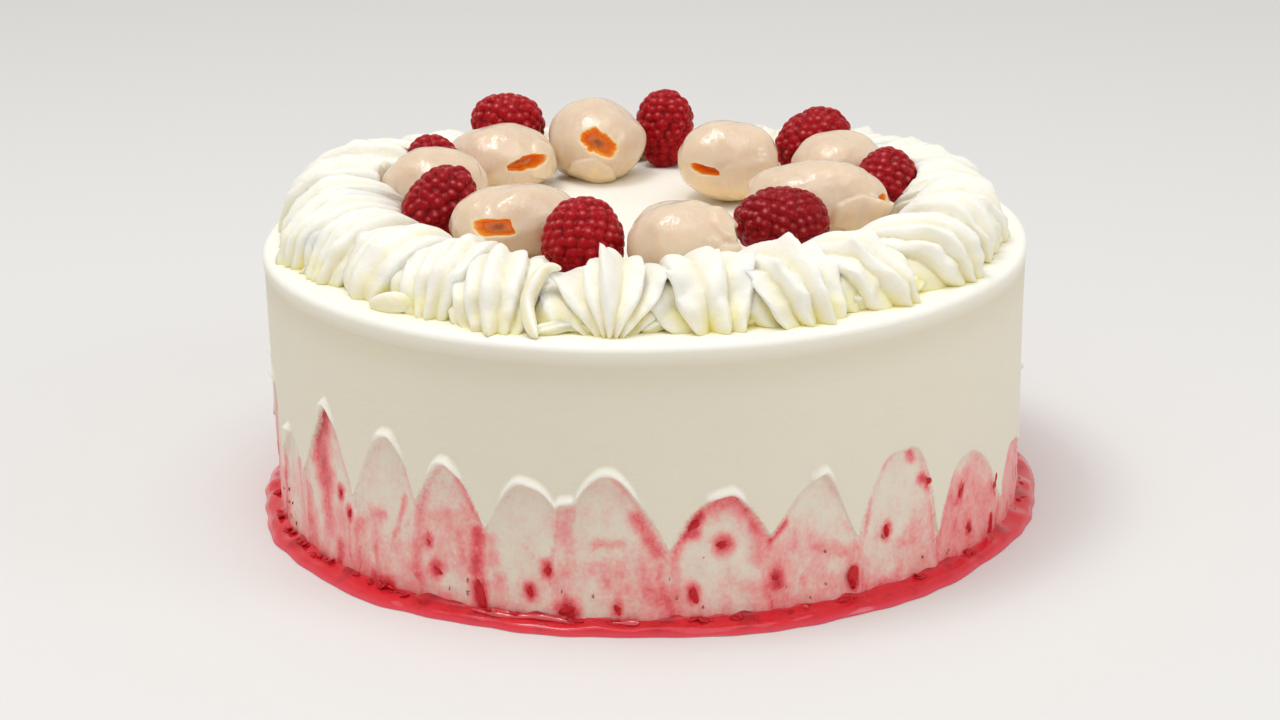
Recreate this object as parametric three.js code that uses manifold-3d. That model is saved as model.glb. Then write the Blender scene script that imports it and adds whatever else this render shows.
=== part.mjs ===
// A round cake in whipped cream: strokes of cream pulled up its side through raspberry purée, a pool of
// the purée round its foot, a piped border on top, and a wreath of pitted lychees and raspberries.
// Millimetres, +Z up. The origin is the centre of the flat base. Angles are in degrees, anticlockwise
// from +X as seen from above, and the front of the cake is at -90.
import * as THREE from "three";
import { mergeVertices } from "three/addons/utils/BufferGeometryUtils.js";
import Module from "manifold-3d";

// Cake
const GAP = 0.3; // between pieces that touch
const FRONT = -90;
const CAKE_HEIGHT = 75.5;
const SIDE_RADIUS = 104.2;
const RIM = { radius: 105, foot: 6, drop: 2.8, edgeIn: 1.2, edgeDrop: 0.7 }; // heights down from the top
const TOP_FLAT_RADIUS = 101.5;

// Strokes on the side, of which the front shows the ones below, from left to right. Each has the angle
// and height of its tip, its half widths in degrees at the foot, and how round its outline is, from a
// straight-sided peak at 1 to a full arch at 2 and more.
const STROKE_COUNT = 29;
const SHOWN_STROKES = [
  { angle: -167, tip: 46, left: 12, right: 12, round: 1.3 },
  { angle: -159, tip: 34, left: 13, right: 14, round: 1.4 },
  { angle: -145.4, tip: 45, left: 14, right: 17, round: 1.05 },
  { angle: -130.9, tip: 44, left: 13, right: 11.5, round: 1.7 },
  { angle: -119.7, tip: 40, left: 13, right: 13, round: 1.5 },
  { angle: -107.1, tip: 38.5, left: 10.2, right: 10.2, round: 2 },
  { angle: -95.9, tip: 41, left: 12, right: 12.5, round: 1.9 },
  { angle: -78.9, tip: 35, left: 13, right: 10.5, round: 2.4 },
  { angle: -65.3, tip: 38, left: 15, right: 10, round: 1.5 },
  { angle: -51.7, tip: 40, left: 13, right: 12, round: 1.4 },
  { angle: -40.4, tip: 42, left: 11, right: 11, round: 1.3 },
  { angle: -27.5, tip: 41, left: 12, right: 12, round: 1.4 },
];
const HIDDEN_STROKE = { tip: 41, half: 12, round: 1.6 };
const HIDDEN_SPREAD = { place: 0.16, tip: 5, half: 1.5, round: 0.4 }; // place is a part of the pitch
const STROKE_COLUMNS = [0, 0.17, 0.38, 0.62, 0.83]; // parts of the way from one tip to the next
const SCOOP = { depth: 1.3, edgePart: 0.3, footDepth: 0.6, below: 1.5 };
const LIP = { out: 1.5, leastOut: 0.2, rise: 2.1, height: 4.8 }; // cream pushed up over a stroke's edge

// Purée pool round the foot
const PUREE = { outerRadius: 109.1, wave: 1.1, height: 4.6, edgeHeight: 1.1, edgeIn: 0.7, columns: 64 };
const PUREE_LUMPS = { count: 23, height: 1.6 };
const PUREE_SLOPE = { out: 2.2, height: 1.9, lumpHeight: 1.2 }; // where the steep part against the side ends

// Piped border. The loose run is the separate shells at the front, and the tight run goes round the rest.
const LOOSE_SHELLS = { first: -96, last: -33, count: 5, width: 27 };
const TIGHT_SHELLS = { first: -18.5, last: 253, count: 24, width: 25 };
const SHELL_HEIGHT = 16;
const SHELL_BACK_DROP = 8; // how much lower the shells are at the back
const BACK_POWER = 3.4; // how late that comes on the way round to the back
const SHELL_FOOT_RADIUS = 98;
const SAGGED_FOOT_RADIUS = 102; // of the last shell of the tight run
const SHELL_TAIL_RADIUS = 65.5;
const SHELL_BACK_TAIL_RADIUS = 76;
const SHELL_SPREAD = { height: 0.7, foot: 1.4, tail: 1, lean: 2.5, swing: 8 }; // lean and swing in degrees
const SHELL_ARCH = { start: 0.4, crestPart: 0.26, crest: 10, end: 3.5 }; // of its centre line
const SHELL_ABOVE_CENTRE = 5; // how much less its radius is than its height
const SHELL_STATIONS = 5;
const SHELL_RIDGES = 5; // over the top and sides of a shell
const RIDGE_SPREAD = 210; // degrees from the lowest ridge on one side to that on the other
const GROOVE = 0.24; // depth of a groove, as a part of the shell's radius
const UNDERSIDE = { turns: [150, 210], reach: 0.9 };
const STRAND = { radius: 87, halfWidth: 9, height: 6, columns: 40 };
const DROP = { angle: -133.5, radius: 99, sink: 2.2, half: [4.6, 3, 3.2] }; // a stray drop of cream
const FRUIT_ROOM = 0.9; // that the border leaves round a piece of fruit
const BELOW = { width: 300, depth: 20 }; // what the border's flat underside is cut off with

// Lychees. Each has its place, its half sizes across, deep and high, how far it is lifted off the top
// of the cake, and its turn about the vertical. Its pit hole faces a direction, given as an angle round
// the lychee and an elevation, and has a length, a width and a roll.
const LYCHEES = [
  { x: -14, y: 53, half: [14.5, 13, 12], lift: 0, turn: 0, hole: [-86, 14], size: [12, 7.5], roll: -38 },
  { x: -41.5, y: 40.5, half: [16, 13, 10.4], lift: 0, turn: -8, hole: [-48, 10], size: [10, 4.5], roll: 40 },
  { x: -58.5, y: 4, half: [15.2, 12.5, 11.3], lift: 0.4, turn: 10, hole: [160, -20], size: [9, 6], roll: 0 },
  { x: -35, y: -32.5, half: [16.7, 13, 10.8], lift: 0.4, turn: 4, hole: [-106, 12], size: [8, 7], roll: -25 },
  { x: 9.5, y: -55, half: [14.5, 12.5, 10.7], lift: 0.2, turn: -6, hole: [95, -5], size: [9, 5], roll: 10 },
  { x: 47, y: -13.5, half: [19.4, 12, 10.4], lift: 0, turn: -8, hole: [-22, 6], size: [4.5, 6.5], roll: 10 },
  { x: 55, y: 26, half: [13.4, 12, 10.3], lift: 0, turn: 12, hole: [70, 0], size: [9, 6], roll: 20 },
  { x: 23.5, y: 27, half: [14.5, 13, 12], lift: 0, turn: -5, hole: [-118, -2], size: [8.5, 3.5], roll: -42 },
];
const LYCHEE_NET = { columns: 12, rows: 6 };
const LYCHEE_DENT = { depth: 0.025, waves: 3 };
const PIT = { depth: 7, rimSpread: 0.14, wallSteps: 2, wallDepthPart: 0.48, wallTaper: 0.1 };

// Raspberries. Each has its place, lift, length and width, and the direction of its tip.
const RASPBERRIES = [
  { x: -40, y: 63.5, lift: 6.4, length: 21, width: 18, tip: [172, 12] },
  { x: 6.3, y: 68.5, lift: 0, length: 22.4, width: 17.4, tip: [250, -82] },
  { x: 49, y: 48.5, lift: 3, length: 23, width: 18.4, tip: [205, -22] },
  { x: 67, y: 7, lift: 0.4, length: 19.5, width: 18.2, tip: [65, 48] },
  { x: 36, y: -34.5, lift: 0, length: 25, width: 19.6, tip: [188, 4] },
  { x: -16.3, y: -50.5, lift: 0, length: 21.4, width: 20.4, tip: [80, 62] },
  { x: -55, y: -17.5, lift: 2.4, length: 22, width: 18.2, tip: [28, 46] },
  { x: -59.5, y: 26.5, lift: 1.6, length: 19, width: 17.4, tip: [120, 50] },
];
const BERRY_NET = { columns: 16, rows: 9, endGap: 0.75 }; // gap in rows from a pole to the next row
const BERRY_CONE = { bluntness: 2.3, start: 1.04, taper: 0.16 };
const DRUPELET = { low: 0.86, spread: 0.03, ends: [0.9, 0.95] };

// The traits of a piece that jitter tells apart
const TRAIT = {
  strokePlace: 1,
  strokeTip: 2,
  strokeLeft: 3,
  strokeRight: 4,
  strokeRound: 5,
  shellHeight: 6,
  shellFoot: 7,
  shellTail: 8,
  shellLean: 9,
  shellSwing: 10,
  firstPitRim: 20,
  firstDrupelet: 30,
};

const radians = THREE.MathUtils.degToRad;
const smooth = (value, low, high) => THREE.MathUtils.smoothstep(value, low, high);

// A repeatable number from -1 to 1 for a piece's index and one of its traits.
function jitter(index, trait) {
  const wave = Math.sin(index * 12.9898 + trait * 78.233) * 43758.5453;
  return 2 * (wave - Math.floor(wave)) - 1;
}

// The signed turn from one angle to another, from -180 to 180.
function turnBetween(from, to) {
  return ((((to - from + 180) % 360) + 360) % 360) - 180;
}

function polar(radius, angle, z) {
  return new THREE.Vector3(radius * Math.cos(radians(angle)), radius * Math.sin(radians(angle)), z);
}

// A unit direction from an angle round the vertical and an elevation.
function direction([angle, elevation]) {
  return polar(Math.cos(radians(elevation)), angle, Math.sin(radians(elevation)));
}

// A closed skin over rings of points that go anticlockwise round the way from the first ring to the
// last. It ends in a point at either end, or, with no end points, the last ring joins the first.
// A cell is cut between its lower left and upper right corners where cutRising is true for it.
function skin(rings, firstEnd, lastEnd, cutRising = () => true) {
  const points = rings.flat();
  const faces = [];
  const around = rings[0].length;
  const at = (ring, column) => (ring % rings.length) * around + (column % around);
  const joined = firstEnd ? rings.length - 1 : rings.length;
  for (let ring = 0; ring < joined; ring++) {
    for (let column = 0; column < around; column++) {
      const a = at(ring, column);
      const b = at(ring, column + 1);
      const c = at(ring + 1, column + 1);
      const d = at(ring + 1, column);
      faces.push(...(cutRising(ring, column) ? [a, b, c, a, c, d] : [a, b, d, b, c, d]));
    }
  }
  if (firstEnd) {
    const first = points.push(firstEnd) - 1;
    const last = points.push(lastEnd) - 1;
    for (let column = 0; column < around; column++) {
      faces.push(first, at(0, column + 1), at(0, column));
      faces.push(last, at(rings.length - 1, column), at(rings.length - 1, column + 1));
    }
  }
  return new THREE.BufferGeometry().setFromPoints(points).setIndex(faces);
}

const wasm = await Module();
wasm.setup();

function toSolid(geometry) {
  const bare = geometry.clone();
  bare.deleteAttribute("normal");
  bare.deleteAttribute("uv");
  const merged = mergeVertices(bare, 1e-4);
  return new wasm.Manifold(
    new wasm.Mesh({
      numProp: 3,
      vertProperties: merged.attributes.position.array,
      triVerts: new Uint32Array(merged.index.array),
    }),
  );
}

function toGeometry(solid) {
  const { vertProperties, triVerts } = solid.getMesh();
  return new THREE.BufferGeometry()
    .setAttribute("position", new THREE.BufferAttribute(vertProperties, 3))
    .setIndex(Array.from(triVerts));
}

function mesh(name, geometry, color, roughness) {
  geometry.computeVertexNormals();
  const made = new THREE.Mesh(geometry, new THREE.MeshStandardMaterial({ color, roughness, metalness: 0 }));
  made.name = name;
  return made;
}

// The strokes go on round the back from the last one that the front shows to the first.
function allStrokes() {
  const lastShown = SHOWN_STROKES.at(-1).angle;
  const hidden = STROKE_COUNT - SHOWN_STROKES.length;
  const pitch = (SHOWN_STROKES[0].angle + 360 - lastShown) / (hidden + 1);
  const strokes = [...SHOWN_STROKES];
  for (let i = 1; i <= hidden; i++) {
    strokes.push({
      angle: lastShown + pitch * (i + HIDDEN_SPREAD.place * jitter(i, TRAIT.strokePlace)),
      tip: HIDDEN_STROKE.tip + HIDDEN_SPREAD.tip * jitter(i, TRAIT.strokeTip),
      left: HIDDEN_STROKE.half + HIDDEN_SPREAD.half * jitter(i, TRAIT.strokeLeft),
      right: HIDDEN_STROKE.half + HIDDEN_SPREAD.half * jitter(i, TRAIT.strokeRight),
      round: HIDDEN_STROKE.round + HIDDEN_SPREAD.round * jitter(i, TRAIT.strokeRound),
    });
  }
  return strokes;
}

// The outline that the strokes leave at one angle: its height, and how near the angle is to the
// middle of the stroke that makes it, from 0 at the stroke's foot to 1 at its tip.
function strokeEdge(strokes, angle) {
  let edge = { height: 0, nearness: 0 };
  for (const stroke of strokes) {
    const turn = turnBetween(stroke.angle, angle);
    const away = Math.abs(turn) / (turn < 0 ? stroke.left : stroke.right);
    const height = stroke.tip * (1 - away ** stroke.round);
    if (height > edge.height) edge = { height, nearness: 1 - away };
  }
  return edge;
}

// The iced cake is one solid, as it is uncut. Each column of its side follows the strokes' outline:
// scooped in under it, with a lip of pushed-up cream over it.
function cakeBody() {
  const strokes = allStrokes();
  const tips = strokes.map((stroke) => stroke.angle);
  const angles = tips.flatMap((tip, i) => {
    const next = tip + turnBetween(tip, tips[(i + 1) % tips.length]);
    return STROKE_COLUMNS.map((part) => tip + part * (next - tip));
  });
  const column = (angle) => {
    const { height, nearness } = strokeEdge(strokes, angle);
    const scoop = SCOOP.depth * (SCOOP.edgePart + (1 - SCOOP.edgePart) * smooth(nearness, 0, 0.6));
    const lip = LIP.leastOut + LIP.out * smooth(nearness, 0.3, 0.85);
    return [
      [SIDE_RADIUS - SCOOP.footDepth, 0],
      [SIDE_RADIUS - 0.5 * (scoop + SCOOP.footDepth), 0.5 * height],
      [SIDE_RADIUS - scoop, height - SCOOP.below],
      [SIDE_RADIUS - 0.2 * scoop, height],
      [SIDE_RADIUS + lip, height + LIP.rise],
      [SIDE_RADIUS, height + LIP.height],
      [0.5 * (SIDE_RADIUS + RIM.radius), CAKE_HEIGHT - RIM.foot],
      [RIM.radius, CAKE_HEIGHT - RIM.drop],
      [RIM.radius - RIM.edgeIn, CAKE_HEIGHT - RIM.edgeDrop],
      [TOP_FLAT_RADIUS, CAKE_HEIGHT],
    ].map(([radius, z]) => polar(radius, angle, z));
  };
  const columns = angles.map(column);
  const rings = columns[0].map((_, row) => columns.map((points) => points[row]));
  return skin(rings, new THREE.Vector3(0, 0, 0), new THREE.Vector3(0, 0, CAKE_HEIGHT));
}

// The purée lies round the foot as an uneven ring, with soft lumps of fruit against the side.
function pureeRing() {
  const rings = Array.from({ length: 5 }, () => []);
  const inner = SIDE_RADIUS + GAP;
  for (let i = 0; i < PUREE.columns; i++) {
    const angle = (360 * i) / PUREE.columns;
    const wave = 0.6 * Math.sin(radians(5 * angle + 40)) + 0.4 * Math.sin(radians(13 * angle));
    const outer = PUREE.outerRadius + PUREE.wave * wave;
    const lump = Math.max(0, Math.sin(radians(PUREE_LUMPS.count * angle + 90 * wave))) ** 2;
    const section = [
      [inner, 0],
      [outer - PUREE.edgeIn, 0],
      [outer, PUREE.edgeHeight],
      [inner + PUREE_SLOPE.out, PUREE_SLOPE.height + PUREE_SLOPE.lumpHeight * lump],
      [inner, PUREE.height + PUREE_LUMPS.height * lump],
    ];
    section.forEach(([radius, z], k) => rings[k].push(polar(radius, angle, z)));
  }
  return skin(rings);
}

// How far round the back an angle is, from 0 at the sides and front to 1 at the very back.
function backness(angle) {
  return Math.max(0, -Math.cos(radians(angle - FRONT))) ** BACK_POWER;
}

// The section of a shell: turns from the top and reaches, with ridges and grooves by turns over the
// top and sides, and a plain underside.
function shellSection() {
  const last = 2 * SHELL_RIDGES - 2;
  const section = Array.from({ length: last + 1 }, (_, i) => ({
    turn: RIDGE_SPREAD * (i / last - 0.5),
    reach: i % 2 ? 1 - GROOVE : 1,
  }));
  return section.concat(UNDERSIDE.turns.map((turn) => ({ turn, reach: UNDERSIDE.reach })));
}

// A shell of cream from a star nozzle: it starts in a point at the cake's edge, swells over a short
// arch, and tapers to a tail towards the middle. Its ridges run along the arch.
function shell({ angle, width, footRadius = SHELL_FOOT_RADIUS }, index) {
  const back = backness(angle);
  const stray = (trait, spread) => spread * jitter(index, trait);
  const height = SHELL_HEIGHT + stray(TRAIT.shellHeight, SHELL_SPREAD.height);
  const flattened = 1 - (SHELL_BACK_DROP * back) / SHELL_HEIGHT;
  const foot = footRadius + stray(TRAIT.shellFoot, SHELL_SPREAD.foot);
  const usualTail = THREE.MathUtils.lerp(SHELL_TAIL_RADIUS, SHELL_BACK_TAIL_RADIUS, back);
  const tail = usualTail + stray(TRAIT.shellTail, SHELL_SPREAD.tail);
  const lean = stray(TRAIT.shellLean, SHELL_SPREAD.lean);
  const swing = stray(TRAIT.shellSwing, SHELL_SPREAD.swing);
  const length = foot - tail;
  const radius = height - SHELL_ABOVE_CENTRE;
  const path = new THREE.QuadraticBezierCurve(
    new THREE.Vector2(0, SHELL_ARCH.start),
    new THREE.Vector2(SHELL_ARCH.crestPart * length, SHELL_ARCH.crest),
    new THREE.Vector2(length, SHELL_ARCH.end),
  );
  const at = (distance, z, across) => {
    const side = radians(angle + 90);
    const point = polar(foot - distance, angle + (lean * distance) / length, z * flattened);
    return point.add(new THREE.Vector3(across * Math.cos(side), across * Math.sin(side), 0));
  };
  const section = shellSection();
  const rings = [];
  for (let station = 1; station <= SHELL_STATIONS; station++) {
    const t = (station / (SHELL_STATIONS + 0.35)) ** 1.5;
    const centre = path.getPoint(t);
    const along = path.getTangent(t);
    const size = Math.sin(Math.PI * t ** 0.85) ** 0.5;
    rings.push(
      section.map(({ turn, reach }) => {
        const up = radius * size * reach * Math.cos(radians(turn + swing));
        const across = 0.5 * width * size * reach * Math.sin(radians(turn + swing));
        return at(centre.x - up * along.y, centre.y + up * along.x, across);
      }),
    );
  }
  return skin(rings, at(0, SHELL_ARCH.start, 0), at(length, SHELL_ARCH.end, 0));
}

// The shells of one run of the border, evenly spread from its first to its last.
function shellRun({ first, last, count, width }) {
  return Array.from({ length: count }, (_, i) => ({
    angle: first + ((last - first) * i) / (count - 1),
    width,
  }));
}

// A low strand that runs on under all of the shells and joins the loose ones.
function strand() {
  const { radius, halfWidth, height, columns } = STRAND;
  const profile = [
    new THREE.Vector2(radius - halfWidth, -1),
    new THREE.Vector2(radius + halfWidth, -1),
    new THREE.Vector2(radius + 0.5 * halfWidth, height),
    new THREE.Vector2(radius - 0.5 * halfWidth, height),
    new THREE.Vector2(radius - halfWidth, -1),
  ];
  return new THREE.LatheGeometry(profile, columns).rotateX(Math.PI / 2);
}

// A rounded room that a piece of fruit leaves in the cream it is pressed into.
function fruitRoom(piece) {
  const bounds = new THREE.Box3().setFromObject(piece);
  const centre = bounds.getCenter(new THREE.Vector3());
  const half = bounds.getSize(new THREE.Vector3()).multiplyScalar(0.5).addScalar(FRUIT_ROOM);
  return new THREE.SphereGeometry(1, 16, 10).scale(...half).translate(...centre);
}

// The border is one piece: its shells run into each other, over the strand. It lies flat on the cake,
// and gives way to the fruit.
function pipedBorder(fruit) {
  const shells = [...shellRun(LOOSE_SHELLS), ...shellRun(TIGHT_SHELLS)];
  shells.at(-1).footRadius = SAGGED_FOOT_RADIUS;
  const dropPlace = polar(DROP.radius, DROP.angle, DROP.half[2] - DROP.sink);
  const drop = new THREE.SphereGeometry(1, 8, 6)
    .scale(...DROP.half)
    .rotateZ(radians(DROP.angle))
    .translate(...dropPlace);
  const below = new THREE.BoxGeometry(BELOW.width, BELOW.width, BELOW.depth);
  let border = toSolid(strand()).add(toSolid(drop));
  for (const piece of shells.map(shell)) border = border.add(toSolid(piece));
  border = border.subtract(toSolid(below.translate(0, 0, -0.5 * BELOW.depth)));
  for (const piece of fruit) border = border.subtract(toSolid(fruitRoom(piece)));
  return toGeometry(border);
}

// A pitted lychee: an egg-like skin round an axis through its pit hole. The skin turns in at the
// hole's uneven rim and runs down to the floor of the pit.
function lychee({ half, turn, hole, size, roll }, index) {
  const [across, deep, high] = half;
  const mean = (across + deep + high) / 3;
  const axis = direction([hole[0] - turn, hole[1]]);
  const frame = new THREE.Quaternion().setFromUnitVectors(new THREE.Vector3(0, 0, 1), axis);
  const place = (theta, reach, phi) =>
    new THREE.Vector3(Math.sin(theta) * Math.cos(phi), Math.sin(theta) * Math.sin(phi), Math.cos(theta))
      .multiplyScalar(reach)
      .applyQuaternion(frame)
      .multiply(new THREE.Vector3(across, deep, high));
  const rimAngle = (phi, column) => {
    const along = phi - radians(roll);
    const radius = 0.5 / Math.hypot(Math.cos(along) / size[0], Math.sin(along) / size[1]);
    return (radius * (1 + PIT.rimSpread * jitter(column, TRAIT.firstPitRim + index))) / mean;
  };
  const rings = [];
  for (let row = 1; row <= LYCHEE_NET.rows + PIT.wallSteps; row++) {
    const ring = [];
    for (let column = 0; column < LYCHEE_NET.columns; column++) {
      const phi = (2 * Math.PI * column) / LYCHEE_NET.columns;
      const rim = rimAngle(phi, column);
      const part = Math.min(row / LYCHEE_NET.rows, 1);
      const theta = Math.PI - part * (Math.PI - rim);
      const wave = Math.sin(LYCHEE_DENT.waves * phi + index) * Math.sin(theta) ** 2;
      const step = Math.max(0, row - LYCHEE_NET.rows);
      const sunk = (step * PIT.wallDepthPart * PIT.depth) / mean;
      const reach = step ? 1 - sunk : 1 + LYCHEE_DENT.depth * wave;
      ring.push(place(theta * (1 - PIT.wallTaper * step), reach, phi));
    }
    rings.push(ring);
  }
  return skin(rings, place(Math.PI, 1, 0), place(0, 1 - PIT.depth / mean, 0));
}

// A raspberry: a blunt cone with its drupelets as raised points on a net of rows and columns.
function raspberry({ length, width, tip }, index) {
  const { columns, rows, endGap } = BERRY_NET;
  const frame = new THREE.Quaternion().setFromUnitVectors(new THREE.Vector3(0, 0, 1), direction(tip));
  const place = (t, phi, reach) => {
    const blunt = Math.sqrt(Math.max(0, 1 - Math.abs(2 * t - 1) ** BERRY_CONE.bluntness));
    const radius = 0.5 * width * blunt * (BERRY_CONE.start - BERRY_CONE.taper * t) * reach;
    return new THREE.Vector3(
      radius * Math.cos(phi),
      radius * Math.sin(phi),
      length * (t - 0.5) * (0.5 + 0.5 * reach),
    ).applyQuaternion(frame);
  };
  const rings = [];
  for (let row = 0; row < rows; row++) {
    const t = 0.5 - 0.5 * Math.cos((Math.PI * (row + endGap)) / (rows - 1 + 2 * endGap));
    const ring = [];
    for (let column = 0; column < columns; column++) {
      const high = 1 + DRUPELET.spread * jitter(row * columns + column, TRAIT.firstDrupelet + index);
      const raised = (row + column) % 2 === 0;
      ring.push(place(t, (2 * Math.PI * column) / columns, raised ? high : DRUPELET.low));
    }
    rings.push(ring);
  }
  const ends = [place(0, 0, DRUPELET.ends[0]), place(1, 0, DRUPELET.ends[1])];
  return skin(rings, ...ends, (row, column) => (row + column) % 2 === 1);
}

// A piece of fruit with its lowest point at its lift over the top of the cake.
function settle(made, { x, y, lift, turn = 0 }) {
  made.geometry.computeBoundingBox();
  made.position.set(x, y, lift - made.geometry.boundingBox.min.z);
  made.rotation.z = radians(turn);
  return made;
}

const lychees = LYCHEES.map((piece, i) =>
  settle(mesh(`lychee_${i + 1}`, lychee(piece, i), 0xe9cfae, 0.25), piece),
);
const raspberries = RASPBERRIES.map((piece, i) =>
  settle(mesh(`raspberry_${i + 1}`, raspberry(piece, i), 0xa01828, 0.4), piece),
);
const fruit = [...lychees, ...raspberries];

const topping = new THREE.Group();
topping.position.z = CAKE_HEIGHT + GAP;
topping.add(mesh("piped_border", pipedBorder(fruit), 0xfbf8ee, 0.5), ...fruit);

const lycheeCake = new THREE.Group();
lycheeCake.add(mesh("cake_body", cakeBody(), 0xf3efe2, 0.55));
lycheeCake.add(mesh("raspberry_puree_ring", pureeRing(), 0xc4283a, 0.15));
lycheeCake.add(topping);

export default lycheeCake;
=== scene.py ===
"""A lychee raspberry cake in whipped cream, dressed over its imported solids.

Each shape is a surface worked out with numpy, in millimetres until it becomes a mesh. The frame is that
of the solids: the origin is the centre of the flat base and +Z is up. Angles are in degrees,
anticlockwise from +X as seen from above, and the front of the cake is at -90.
"""
import logging
import math
from collections.abc import Mapping, Sequence
from dataclasses import dataclass
from enum import Enum

import bpy
import numpy as np
from mathutils import Matrix, Vector


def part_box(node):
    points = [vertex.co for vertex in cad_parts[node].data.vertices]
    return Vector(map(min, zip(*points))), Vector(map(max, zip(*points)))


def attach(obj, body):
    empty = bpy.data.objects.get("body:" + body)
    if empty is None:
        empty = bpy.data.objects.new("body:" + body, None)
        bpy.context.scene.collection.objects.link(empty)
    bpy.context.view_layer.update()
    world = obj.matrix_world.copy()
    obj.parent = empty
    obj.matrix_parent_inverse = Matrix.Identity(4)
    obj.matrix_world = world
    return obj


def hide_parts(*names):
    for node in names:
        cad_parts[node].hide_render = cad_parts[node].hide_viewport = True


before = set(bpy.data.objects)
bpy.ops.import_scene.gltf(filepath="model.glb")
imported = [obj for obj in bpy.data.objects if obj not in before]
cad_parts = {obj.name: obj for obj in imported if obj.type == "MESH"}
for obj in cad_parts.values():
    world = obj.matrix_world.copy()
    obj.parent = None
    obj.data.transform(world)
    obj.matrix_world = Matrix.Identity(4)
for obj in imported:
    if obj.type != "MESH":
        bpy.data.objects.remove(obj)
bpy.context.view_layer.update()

LOG = logging.getLogger("cake")
MM = 0.001
FRONT = -90.0
CAKE_HEIGHT = 75.5
SIDE_RADIUS = 104.2
MM_PER_DEGREE = math.radians(1) * SIDE_RADIUS  # along the side
SINK = 0.4  # how far the toppings settle into the cream of the top
BURIED = 0.2  # how far below the top the piping may reach

Array = np.ndarray
Triple = tuple[float, float, float]
Colour = Triple


class Slot(Enum):
    """The record's material slots."""

    ICING = "cream_icing"
    PIPED = "piped_cream"
    PUREE = "raspberry_puree"
    LYCHEE = "lychee_flesh"
    BERRY = "raspberry"


class Trait(Enum):
    """What jitter draws for a piece, numbered so that each trait gets its own number."""

    STROKE_PLACE = 1
    STROKE_TIP = 2
    STROKE_LEFT = 3
    STROKE_RIGHT = 4
    STROKE_ROUND = 5
    SHELL_HEIGHT = 6
    SHELL_FOOT = 7
    SHELL_TAIL = 8
    SHELL_LEAN = 9
    SHELL_SWING = 10
    STROKE_TINT = 11
    STROKE_EDGE = 12
    SHELL_FIN = 13
    STROKE_SOAK = 14
    STROKE_CAP = 15
    PIT_RIM = 20
    DRUPELET = 30


def jitter(index: Array | float, trait: float) -> Array:
    """A repeatable number from -1 to 1 for each index and a trait.

    The formula is twice the fraction of a large multiple of a sine, less one, as in the solids.

    Args:
        index: The piece's number, or several.
        trait: The number of the trait.

    Returns:
        The number for each index.
    """
    wave = np.sin(np.asarray(index) * 12.9898 + trait * 78.233) * 43758.5453
    return 2 * (wave - np.floor(wave)) - 1


def one_draw(index: int, trait: Trait) -> float:
    """The number that jitter gives for one index and a trait."""
    return float(jitter(index, trait.value))


def smooth(value: Array | float, low: float, high: float) -> Array:
    """Rises softly from 0 at low to 1 at high, as three times the square less twice the cube."""
    part = np.clip((np.asarray(value) - low) / (high - low), 0, 1)
    return part * part * (3 - 2 * part)


def bell(away: Array | float, half: float) -> Array:
    """A bell curve of a distance: 1 at 0, and about a third where the distance is half."""
    return np.exp(-((away / half) ** 2))


def turn_between(start: Array | float, end: Array | float) -> Array:
    """The signed turn from one angle to another, from -180 to 180."""
    return (np.asarray(end) - start + 180) % 360 - 180


def stacked(x: Array | float, y: Array | float, z: Array | float) -> Array:
    """Points from coordinates whose shapes fit together, with the coordinates last."""
    return np.stack(np.broadcast_arrays(x, y, z), -1)


def polar(radius: Array | float, angle: Array | float, z: Array | float) -> Array:
    """Points from a radius, an angle and a height, with the coordinates last."""
    turned = np.radians(angle)
    return stacked(radius * np.cos(turned), radius * np.sin(turned), z)


def direction(angle: float, elevation: float) -> Array:
    """A unit direction from an angle round the vertical and an elevation."""
    return polar(math.cos(math.radians(elevation)), angle, math.sin(math.radians(elevation)))


def unevenness(points: Array, size: float, seed: int, waves: int = 12) -> Array:
    """Soft unevenness of about -1 to 1 over points.

    The formula is a sum of sine waves in random directions, with lengths near the size asked for.

    Args:
        points: Places in millimetres, with the coordinates last.
        size: The usual length of a wave.
        seed: What the directions, lengths and phases are drawn from.
        waves: How many waves are added.

    Returns:
        The unevenness at each point.
    """
    draw = np.random.default_rng(seed)
    ways = draw.normal(size=(waves, 3))
    ways /= np.linalg.norm(ways, axis=1, keepdims=True)
    lengths = size * draw.uniform(0.75, 1.6, waves)
    phases = draw.uniform(0, 2 * np.pi, waves)
    total = np.sin(2 * np.pi * (points @ ways.T) / lengths + phases).sum(-1)
    return total / math.sqrt(waves)


def side_unevenness(angle: Array, z: Array | float, size: float, seed: int) -> Array:
    """Soft unevenness over the side of the cake, at angles and heights."""
    return unevenness(polar(SIDE_RADIUS, angle, z), size, seed)


def not_buried(points: Array) -> Array:
    """Points of the piping, lifted where they are deep in the top."""
    return np.maximum(points, (-np.inf, -np.inf, CAKE_HEIGHT - BURIED))


def frame_towards(axis: Array) -> Array:
    """The rotation that takes +Z to an axis by the shortest turn, as a 3 by 3 matrix."""
    turn = Vector((0, 0, 1)).rotation_difference(Vector(axis))
    return np.array(turn.to_matrix())


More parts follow.
